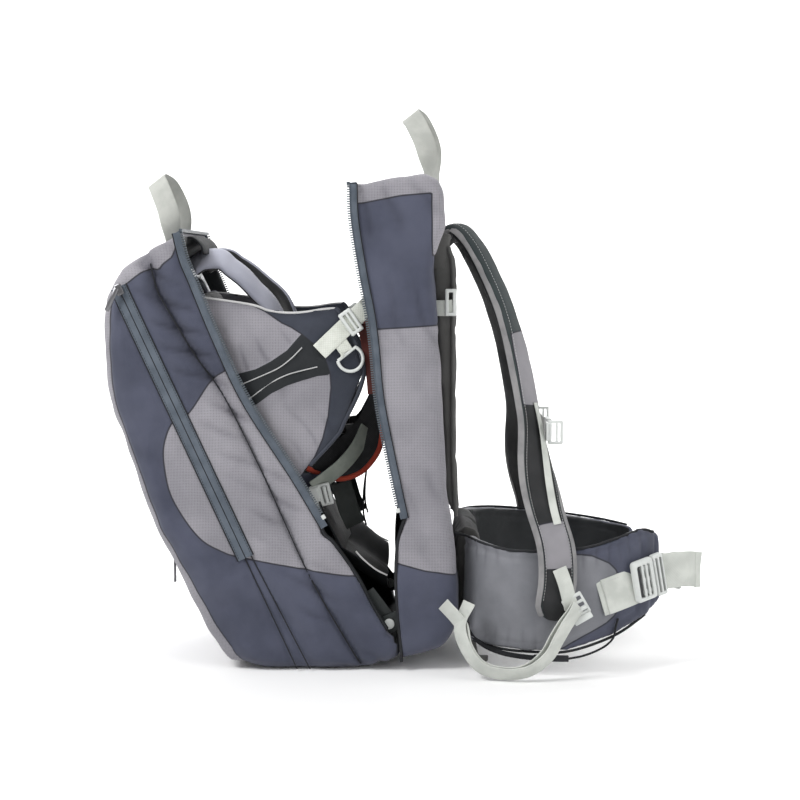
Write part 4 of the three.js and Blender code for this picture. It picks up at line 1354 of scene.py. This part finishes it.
def sternum_strap():
    """The clips on the two rails, the small buckle between them and the webbing across the chest."""
    mm = np.array
    for label, side in SIDES.items():
        base = block("base", mm((3, 24, 26)) * MM, 1.0 * MM, mm((208.5, side * 113.5, 332)) * MM)
        clip = block("clip", mm((7, 6, 22)) * MM, 1.5 * MM, mm((211, side * 108, 332)) * MM)
        hook = block("hook", mm((6, 5, 24)) * MM, 1.5 * MM, mm((211, side * 121, 332)) * MM)
        roller = cord_line("roller", mm([(213, side * 114, 321), (213, side * 114, 343)]) * MM, 2.4 * MM, 12)
        windows = [(-6, 0.5), (3.5, 7)]
        frame_part = window_frame("frame", 22 * MM, 34 * MM, 4.5 * MM, windows, 4 * MM, 1.2 * MM)
        frame_part.data.transform(Matrix.Translation((220 * MM, side * 118 * MM, 331 * MM)))
        piece = joined(f"sternum_slider_clip_{label}", [base, clip, hook, roller, frame_part])
        smooth(piece, 40)
        dress(piece, "plastic", "sternum_strap", "pale_plastic", f"sternum_slider_{label}")
    hard_copy("sternum_socket", "sternum_socket_shell", "plastic", "sternum_strap", "pale_plastic", 1.2 * MM)
    hard_copy("sternum_plug", "sternum_plug_shell", "plastic", "sternum_release", "pale_plastic", 0.7 * MM)
    middle = route([(213, -56, 332), (214, -10, 331), (214, 50, 331), (213, 99, 332)], 50)
    strap = ribbon("sternum_strap_webbing", middle, STERNUM_WEB, 1.6 * MM, (0, 0, 1))
    dress(strap, "pale", None, "pale_webbing", "sternum_webbing")
    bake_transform(strap)
    row = route([(213, -113, 332), (213, -93, 332)], 8)
    link = ribbon("sternum_link", row, STERNUM_WEB, 1.6 * MM, (0, 0, 1))
    dress(link, "pale", "sternum_strap", "pale_webbing")


# ---------- child seat ----------
SEAT_WING = [
    (-292, 524), (-266, 522), (-204, 513), (-182, 505), (-132, 503), (-90, 508), (-80, 494), (-50, 421),
    (-79, 346), (-91, 326), (-126, 288), (-150, 262), (-178, 268), (-235, 370), (-272, 460),
]
SEAT_GREY = [
    (-300, 540), (-266, 521), (-206, 512), (-187, 503), (-164, 487), (-151, 481), (-137, 472), (-119, 457),
    (-104, 438), (-97, 415), (-96, 397), (-100, 357), (-108, 325), (-119, 300), (-132, 281), (-150, 240),
    (-320, 240),
]
SEAT_PATCH = [
    (-137, 472), (-119, 457), (-104, 438), (-97, 415), (-115, 413), (-136, 407), (-157, 400), (-179, 389),
    (-198, 375), (-260, 330), (-260, 410), (-223, 417), (-200, 423), (-179, 434), (-157, 449),
]
SEAT_WING_TOP = [
    (-288, 524), (-266, 522), (-206, 513), (-182, 505), (-157, 502), (-132, 503), (-106, 507), (-90, 508),
]
SEAT_WING_BULGE = 3.6 * MM


def wing_bulge(rim, x):
    """How far a seat wing stands out, from its distance inside the rim and its place along X."""
    room = 1 - smoothstep(x, -0.14, -0.1)
    return SEAT_WING_BULGE * (1 - bell(rim, 26 * MM)) * room, room


def seat_fold(piece):
    """Bakes a seat piece's placement into its points."""
    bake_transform(piece)


def seat_wing(label, side):
    """A soft side of the child seat: ripstop, navy and a dark patch, with its piping and hem."""
    piece = cloth_copy(f"seat_wing_{label}", f"seat_wing_panel_{label}", 2.6 * MM)
    co = points(piece)
    flat = co[:, [0, 2]]
    rim = np.maximum(within(to_metres(SEAT_WING), flat), 0)
    lift, room = wing_bulge(rim, co[:, 0])
    patch = within(to_metres(SEAT_PATCH), flat)
    grey = within(to_metres(SEAT_GREY), flat)
    lift += 1.3 * MM * ripples(co, 0.05, 61) * room - 0.9 * MM * bell(grey, 2.4 * MM) + 0.8 * MM * (patch > 0)
    wave = (co[:, 0] + 0.5 * co[:, 2]) * 2 * math.pi / (40 * MM) + 1.8 * ripples(co, 0.08, 62)
    fold = fold_marks(wave, 0.3) * smoothstep(rim, 0, 20 * MM) * np.clip(ripples(co, 0.09, 63), 0, 1)
    fold *= 1 - smoothstep(patch, -3 * MM, 1 * MM)
    lift -= 2.2 * MM * fold * room
    co[:, 1] += side * lift
    move_points(piece, co)
    mark(piece, "panel", grey / MM)
    mark(piece, "lining", patch / MM)
    # Painted shade, stored in "crease": dark in the fold marks and along the wing's rim.
    mark(piece, "crease", np.clip(0.45 * fold + 0.5 * bell(rim, 7 * MM), 0, 1))
    dress(piece, "wing", None, "grey_ripstop", f"seat_wing_{label}")
    seat_fold(piece)

    def on_wing(row, count, out):
        """A row of [x, z] points laid out millimetres above the wing's outside."""
        line = rounded_row(to_metres(row), count)
        inside = np.maximum(within(to_metres(SEAT_WING), line), 0)
        height = 0.1534 + wing_bulge(inside, line[:, 0])[0] + out * MM
        return np.stack([line[:, 0], side * height, line[:, 1]], axis=1)

    lines = [
        cord_line("line", on_wing(row, 40, 0.9), 0.9 * MM, 6)
        for row in (
            [(-222, 401), (-189, 415), (-168, 425), (-151, 438), (-136, 453)],
            [(-212, 380), (-179, 404), (-157, 415), (-136, 421), (-115, 426)],
        )
    ]
    top = on_wing(SEAT_WING_TOP, 60, -1.6)
    lines.append(cord_line("top", top - (0, 0, 0.9 * MM), 1.7 * MM, 8))
    trim = joined(f"seat_wing_piping_{label}", lines)
    dress(trim, "thread", None, "grey_ripstop")
    seat_fold(trim)
    front = on_wing([(-90, 508), (-80, 494), (-50, 421), (-79, 346), (-91, 326), (-126, 288)], 60, -1.6)
    hem = cord_line(f"seat_wing_hem_{label}", front, 2.9 * MM, 10)
    dress(hem, "dark_navy", None, "grey_ripstop")
    seat_fold(hem)


def seat_hardware(label, side):
    """The strap that ties a seat wing to the front section, with its lock and its D-ring."""
    y = 158.2
    row = sided(route([(-112, -y, 447), (-79, -y, 478.5), (-48, -y, 508)], 30), side)
    tilt = math.radians(43.4)
    across = (-math.sin(tilt), 0, math.cos(tilt))
    strap = ribbon("strap", row, SMALL_WEB, 1.7 * MM, across)
    under = ribbon("strap", row[:22] - (0, side * 1.7 * MM, 0), SMALL_WEB, 1.5 * MM, across)
    piece = joined(f"seat_side_webbing_{label}", [strap, under])
    dress(piece, "textured", "front_half", "pale_webbing", f"seat_side_strap_{label}")
    lock = window_frame("lock", 20 * MM, 36 * MM, 4.4 * MM, [(-5, 5.2)], 5 * MM, 1.2 * MM)
    bar = cord_line("bar", to_metres([(1, 0, -14), (1, 0, 14)]), 2.0 * MM, 12)
    piece = joined(f"seat_lock_frame_{label}", [lock, bar])
    turned(piece, -35, "Y", (-68 * MM, side * 160.6 * MM, 488.5 * MM))
    smooth(piece, 40)
    dress(piece, "plastic", "front_half", "pale_plastic", f"seat_side_lock_{label}")
    angle, radius = np.radians(np.linspace(-118, 118, 40) - 52), 17.6
    ahead, up = -69 + radius * np.cos(angle), 437.5 + radius * np.sin(angle)
    bow = np.stack([ahead, np.full(40, side * 156.7), up], axis=1)
    ring = np.vstack([bow, bow[:1]]) * MM
    piece = cord_line(f"seat_ring_wire_{label}", ring, 2.4 * MM, 12)
    dress(piece, "plastic", f"ring_{label}", "pale_plastic", f"seat_ring_{label}")
    stub = route([
        (-87, -156.4, 466), (-82, -157.4, 459), (-76, -158.2, 450), (-75.4, -157.2, 446.5), (-78, -155, 447),
    ], 20)
    piece = ribbon(f"seat_ring_stub_{label}", sided(stub, side), 19 * MM, 1.5 * MM, (0.79, 0, 0.62))
    dress(piece, "textured", "front_half", "pale_webbing")


def seat_inside():
    """The backrest, the base, and the dark gusset and skirt that close the seat underneath."""
    back = cloth_copy("seat_backrest", "seat_backrest_cushion", 4.4 * MM)
    puff(back, 4.0, 6 * MM)
    mark(back, "panel", -5 + 0 * points(back)[:, 0])
    mark(back, "lining", (0.1 - np.abs(points(back)[:, 1])) / MM)
    dress(back, "quilted", "rear_half", "navy_fabric", "seat_backrest")
    base = cloth_copy("seat_base", "seat_base_cushion", 4.4 * MM)
    puff(base, 4.0, 6 * MM)
    mark(base, "panel", -5 + 0 * points(base)[:, 0])
    mark(base, "lining", (0.08 - np.abs(points(base)[:, 1])) / MM)
    dress(base, "quilted", None, "navy_fabric", "seat_base")
    seat_fold(base)
    gusset = cloth_copy("seat_bottom_gusset", "seat_bottom_gusset_panel", 2.6 * MM)
    co, n = points(gusset), normals(gusset)
    co += n * (1.6 * MM * ripples(co, 0.06, 71))[:, None]
    co[:, 2] -= 26 * MM * smoothstep(-np.abs(co[:, 1]), -0.148, -0.09)
    move_points(gusset, co)
    dress(gusset, "black", None, "mesh_fabric", "seat_bottom_gusset")
    seat_fold(gusset)
    row = route([
        (-62, -149, 166), (-55, -149.4, 158), (-44, -149.6, 148), (-32, -149.6, 139), (-18, -149.4, 132),
    ], 40)
    edges = [cord_line("edge", sided(row, side), 1.2 * MM, 8) for side in SIDES.values()]
    piping = joined("seat_gusset_piping", edges)
    dress(piping, "thread", None, "mesh_fabric")
    seat_fold(piping)
    skirt_row = route([(-114, 0, 232), (-104, 0, 206), (-90, 0, 178), (-76, 0, 150)], 40)
    skirt = ribbon("seat_skirt", skirt_row, 236 * MM, 2.4 * MM, (0, 1, 0), camber=-6 * MM)
    dress(skirt, "black", None, "mesh_fabric")
    seat_fold(skirt)


FRONT_PANEL_RIM = [
    (-29, -69, 392), (-27, -70, 356), (-26, -71, 329), (-30, -72, 303), (-42, -73, 283), (-58, -74, 268),
    (-81, -76, 260), (-104, -80, 262), (-118, -84, 269), (-134, -88, 276),
]
FRONT_MESH_LOW = [
    (-28, -71, 332), (-32, -72, 303), (-44, -73, 284), (-60, -74, 270), (-82, -76, 262), (-105, -80, 264),
    (-119, -84, 271), (-134, -88, 277),
]
FRONT_MESH_HIGH = [
    (-34, -66, 400), (-46, -68, 372), (-60, -70, 345), (-78, -73, 326), (-98, -78, 308), (-116, -83, 296),
    (-132, -88, 284),
]


def seat_front_mesh(label, side):
    """The mesh gore between the front panel's lower edge and the leg opening."""
    columns = 23
    low = resample(sided(to_metres(FRONT_MESH_LOW), side), np.linspace(0, 0.14, columns + 1))
    high = resample(sided(to_metres(FRONT_MESH_HIGH), side), np.linspace(0, 0.15, columns + 1))
    bpy.ops.mesh.primitive_grid_add(x_subdivisions=columns, y_subdivisions=12, size=1, location=(0, 0, 0))
    piece = bpy.context.object
    piece.name = f"seat_front_mesh_{label}"
    flat = points(piece)
    column, up = np.rint((flat[:, 0] + 0.5) * columns).astype(int), flat[:, 1:2] + 0.5
    co = low[column] * (1 - up) + high[column] * up
    co[:, 1] += side * 5 * MM * np.sin(math.pi * up[:, 0])
    move_points(piece, co)
    apply_modifier(piece, "SOLIDIFY", thickness=3 * MM, offset=0)
    smooth(piece, 40)
    dress(piece, "mesh", "front_half", "mesh_fabric")


def seat_front():
    """The padded mesh panel in front of the child, with its red edge, mesh gores and buckle."""
    count = 60
    middle = route([
        (-36, 0, 446), (-32, 0, 410), (-30, 0, 370), (-33, 0, 335), (-45, 0, 300), (-62, 0, 275),
        (-84, 0, 262),
    ], count)
    t = np.linspace(0, 1, count)
    tip = np.sqrt(np.clip(t / 0.06, 0, 1)) * np.sqrt(np.clip((1 - t) / 0.05, 0, 1))
    width = (118 + 16 * np.sin(t * math.pi)) * MM * (0.7 + 0.3 * tip)
    thick = (15 + 9 * bell(t - 0.62, 0.3)) * MM * tip
    plain = lambda s, aside, lift: (-5.0, 5.0)
    piece = padded_strip("seat_front_cushion", middle, (0, 1, 0), width, thick, plain, 36)
    co, n = points(piece), normals(piece)
    move_points(piece, co + n * (0.8 * MM * ripples(co, 0.04, 75))[:, None])
    dress(piece, "mesh", "front_half", "mesh_fabric", "seat_front_panel")
    rim = route(FRONT_PANEL_RIM, 90)
    edges = [cord_line("edge", sided(rim, side), 4.2 * MM, 12) for side in SIDES.values()]
    dress(joined("seat_front_red_piping", edges), "red", "front_half", "mesh_fabric")
    for label, side in SIDES.items():
        seat_front_mesh(label, side)
    buckle = window_frame("seat_buckle_frame", 30 * MM, 24 * MM, 44 * MM, [(-7, 5)], 4 * MM, 1.4 * MM)
    buckle.data.transform(Matrix.Translation((-90 * MM, 0, 331 * MM)))
    dress(buckle, "dark_plastic", "front_half", "black_plastic", "seat_harness_buckle")


def leg_buckle(label, side):
    loop = window_frame("leg_buckle", 32 * MM, 24 * MM, 5 * MM, [(-9, 2)], 4 * MM, 1.2 * MM)
    turned(loop, -8, "Y", (-80 * MM, side * 66 * MM, 325 * MM))
    loop.name = f"seat_leg_buckle_{label}"
    dress(loop, "dark_plastic", "front_half", "black_plastic")


def leg_strap(label, side):
    row = route([(-48, -76, 334), (-62, -86, 306), (-80, -96, 284), (-102, -104, 266), (-124, -108, 250)], 50)
    across = (0.45, 0.5, -0.6)
    strap = ribbon(f"seat_leg_strap_{label}", sided(row, side), SMALL_WEB, 1.8 * MM, across, camber=1 * MM)
    dress(strap, "olive", "front_half", "strap_fabric")


def leg_lock(label, side):
    lock = window_frame("leg_lock", 30 * MM, 32 * MM, 4.5 * MM, [(-10, -3), (2, 10)], 4 * MM, 1.2 * MM)
    bar = cord_line("bar", to_metres([(6, -2.5, -12), (6, -2.5, 12)]), 3 * MM, 12)
    lever = block("lever", (14 * MM, 4 * MM, 26 * MM), 1.4 * MM, (-9 * MM, -3 * MM, 0))
    piece = joined(f"seat_leg_lock_{label}", [lock, bar, lever])
    turned(piece, -14, "Y", (-112 * MM, side * 110 * MM, 240 * MM))
    smooth(piece, 40)
    dress(piece, "plastic", "front_half", "pale_plastic")


def leg_tab_and_cord(label, side):
    """The dark tab under the seat, and the thin cord with its clip in front of it."""
    tab = sided(route([(-86, -62, 252), (-80, -62, 232), (-74, -62, 212), (-64, -62, 190)], 24), side)
    piece = ribbon(f"seat_leg_tab_{label}", tab, 30 * MM, 2.2 * MM, (0.9, 0.2, 0.35))
    dress(piece, "olive_dark", "front_half", "strap_fabric")
    cord = route([(-46, -66, 282), (-50, -62, 262), (-53, -62, 235), (-53, -62, 208), (-49, -62, 190)], 40)
    piece = cord_line(f"seat_cord_{label}", sided(cord, side), 1.4 * MM, 8)
    dress(piece, "black", "front_half", "strap_fabric")
    at = (-47 * MM, side * 66 * MM, 302 * MM)
    clip = block(f"seat_cord_clip_{label}", (13 * MM, 9 * MM, 15 * MM), 2 * MM, at)
    smooth(clip, 40)
    dress(clip, "dark_plastic", "front_half", "black_plastic")


def seat_legs():
    """Webbing, tabs and cords under the seat."""
    for label, side in SIDES.items():
        leg_buckle(label, side)
        leg_strap(label, side)
        leg_lock(label, side)
        leg_tab_and_cord(label, side)


HARNESS = [
    (-298, -55, 563), (-280, -55, 574), (-258, -55, 574), (-243, -55, 563), (-227, -54, 550),
    (-209, -53, 531), (-185, -51, 505), (-166, -48, 465), (-152, -43, 410), (-146, -38, 360),
]


def harness_strap(label, side):
    """One of the child's shoulder straps, mesh underneath, with a dark webbing strip along it."""
    count = 110
    middle = sided(route(HARNESS, count), side)
    t = np.linspace(0, 1, count)
    if side == LEFT:
        middle += bell(t - 0.5, 0.3)[:, None] * np.array([13, 0, 5]) * MM
    tip = np.sqrt(np.clip((1 - t) / 0.03, 0, 1))
    lean = math.radians(34)
    across = np.stack([0 * t, np.full(count, math.cos(lean)), np.full(count, -side * math.sin(lean))], axis=1)
    upper = (np.cross(np.gradient(middle, axis=0), across)[30, 2] > 0) * 2 - 1
    marks = lambda s, aside, lift: (-5.0, -(lift * upper) * 60 - 2)
    width, thick = 47 * MM * (0.4 + 0.6 * tip), 14 * MM * (0.3 + 0.7 * tip)
    piece = padded_strip(f"harness_strap_pad_{label}", middle, across, width, thick, marks)
    co, n = points(piece), normals(piece)
    move_points(piece, co + n * (0.5 * MM * ripples(co, 0.05, 81))[:, None])
    dress(piece, "lavender", None, "lavender_fabric", f"seat_harness_strap_{label}")
    seat_fold(piece)
    part = slice(44, 72)
    strip = middle[part] + (0, 0, 8.5 * MM)
    loop = ribbon(f"harness_strap_webbing_{label}", strip, 20 * MM, 1.6 * MM, across[part])
    dress(loop, "dark_webbing", None, "lavender_fabric")
    seat_fold(loop)


def mouth_lining():
    """The dark red lining strip and the dark flap that show inside the two mouths."""
    row = route([(-52, -149, 486), (-46, -150, 450), (-41, -151, 420), (-38, -152, 388)], 30)
    strips = [ribbon("strip", sided(row, side), 14 * MM, 2.0 * MM, (1, 0, 0.2)) for side in SIDES.values()]
    dress(joined("front_mouth_red_lining", strips), "dark_red", "front_half", "navy_fabric")
    flap = route([(-300, 0, 606), (-290, 0, 604), (-281, 0, 594), (-277, 0, 582)], 20)
    piece = ribbon("rear_mouth_flap", flap, 210 * MM, 2.6 * MM, (0, 1, 0), camber=2 * MM)
    dress(piece, "black", "rear_half", "navy_fabric")


def seams():
    """Piping and stitch rows on the two sections' side panels."""
    rim = rear_rim()
    dark = []
    for side in SIDES.values():
        flat = rounded_row(to_metres(GUSSET_SEAM), 90)
        height = side_height(flat, rim, REAR_ROUND) - 2.6 * MM
        dark.append(cord_line("seam", np.stack([flat[:, 0], side * height, flat[:, 1]], axis=1), 1.0 * MM, 6))
        for row in POCKET_SEAMS:
            flat = rounded_row(to_metres(row), 40)
            dark.append(cord_line("seam", on_side(flat, side * (SHELL_HALF + 0.2 * MM)), 0.9 * MM, 6))
    dress(joined("rear_section_seam_piping", dark), "black", "rear_half", "navy_fabric")


def hinges():
    """The two hinge plates on each side and the rivet that they turn on."""
    for label in SIDES:
        for half in ("front", "rear"):
            plate, name = f"{half}_hinge_plate_{label}", f"{half}_hinge_{label}"
            hard_copy(plate, name, "hinge", f"{half}_half", "hinge_plastic", 0.6 * MM)
        rivet, name = f"hinge_rivet_{label}", f"hinge_rivet_head_{label}"
        hard_copy(rivet, name, "plastic", "front_half", "pale_plastic", 0.5 * MM)


def sliders():
    """The zip sliders and their pulls."""
    hard_copy("pocket_zip_slider", "pocket_slider_body", "nickel", "pocket_slider", "alloy", 1.6 * MM)
    hard_copy("pocket_zip_pull", "pocket_pull_bar", "nickel", "pocket_pull", "alloy", 1.2 * MM)
    hard_copy("lower_pocket_slider", "lower_slider_body", "nickel", "rear_half", "alloy", 1.5 * MM)
    hard_copy("lower_pocket_pull", "lower_pull_bar", "nickel", "lower_pull", "alloy", 1.0 * MM)


set_stage()
make_paints()
rear_section()
front_section()
seams()
mouth_zip("rear", "rear_half", REAR_ZIP, -1)
mouth_zip("front", "front_half", FRONT_ZIP, 1)
throat_binding("rear_throat_binding", REAR_THROAT[:-1] + [(-104, 191), (-110, 203)], "rear_half")
throat_binding("front_throat_binding", FRONT_THROAT, "front_half")
haul_loop("rear", "rear_half", -330, 602, -12)
haul_loop("front", "front_half", 44, 697, -14)
frame_tube("rear", "rear_half", REAR_TUBE, (-313, 552))
frame_tube("front", "front_half", FRONT_TUBE, (20, 646))
back_pad()
lumbar_pad()
hip_belt()
belt_bottom()
sternum_strap()
seat_inside()
seat_front()
seat_legs()
mouth_lining()
hinges()
sliders()
for label, side in SIDES.items():
    pocket_zip(label, side)
    hip_wing(label, side)
    shoulder_strap(label, side)
    shoulder_lock(label, side)
    loose_webbing(label, side)
    side_strap(label, side)
    seat_wing(label, side)
    seat_hardware(label, side)
    harness_strap(label, side)
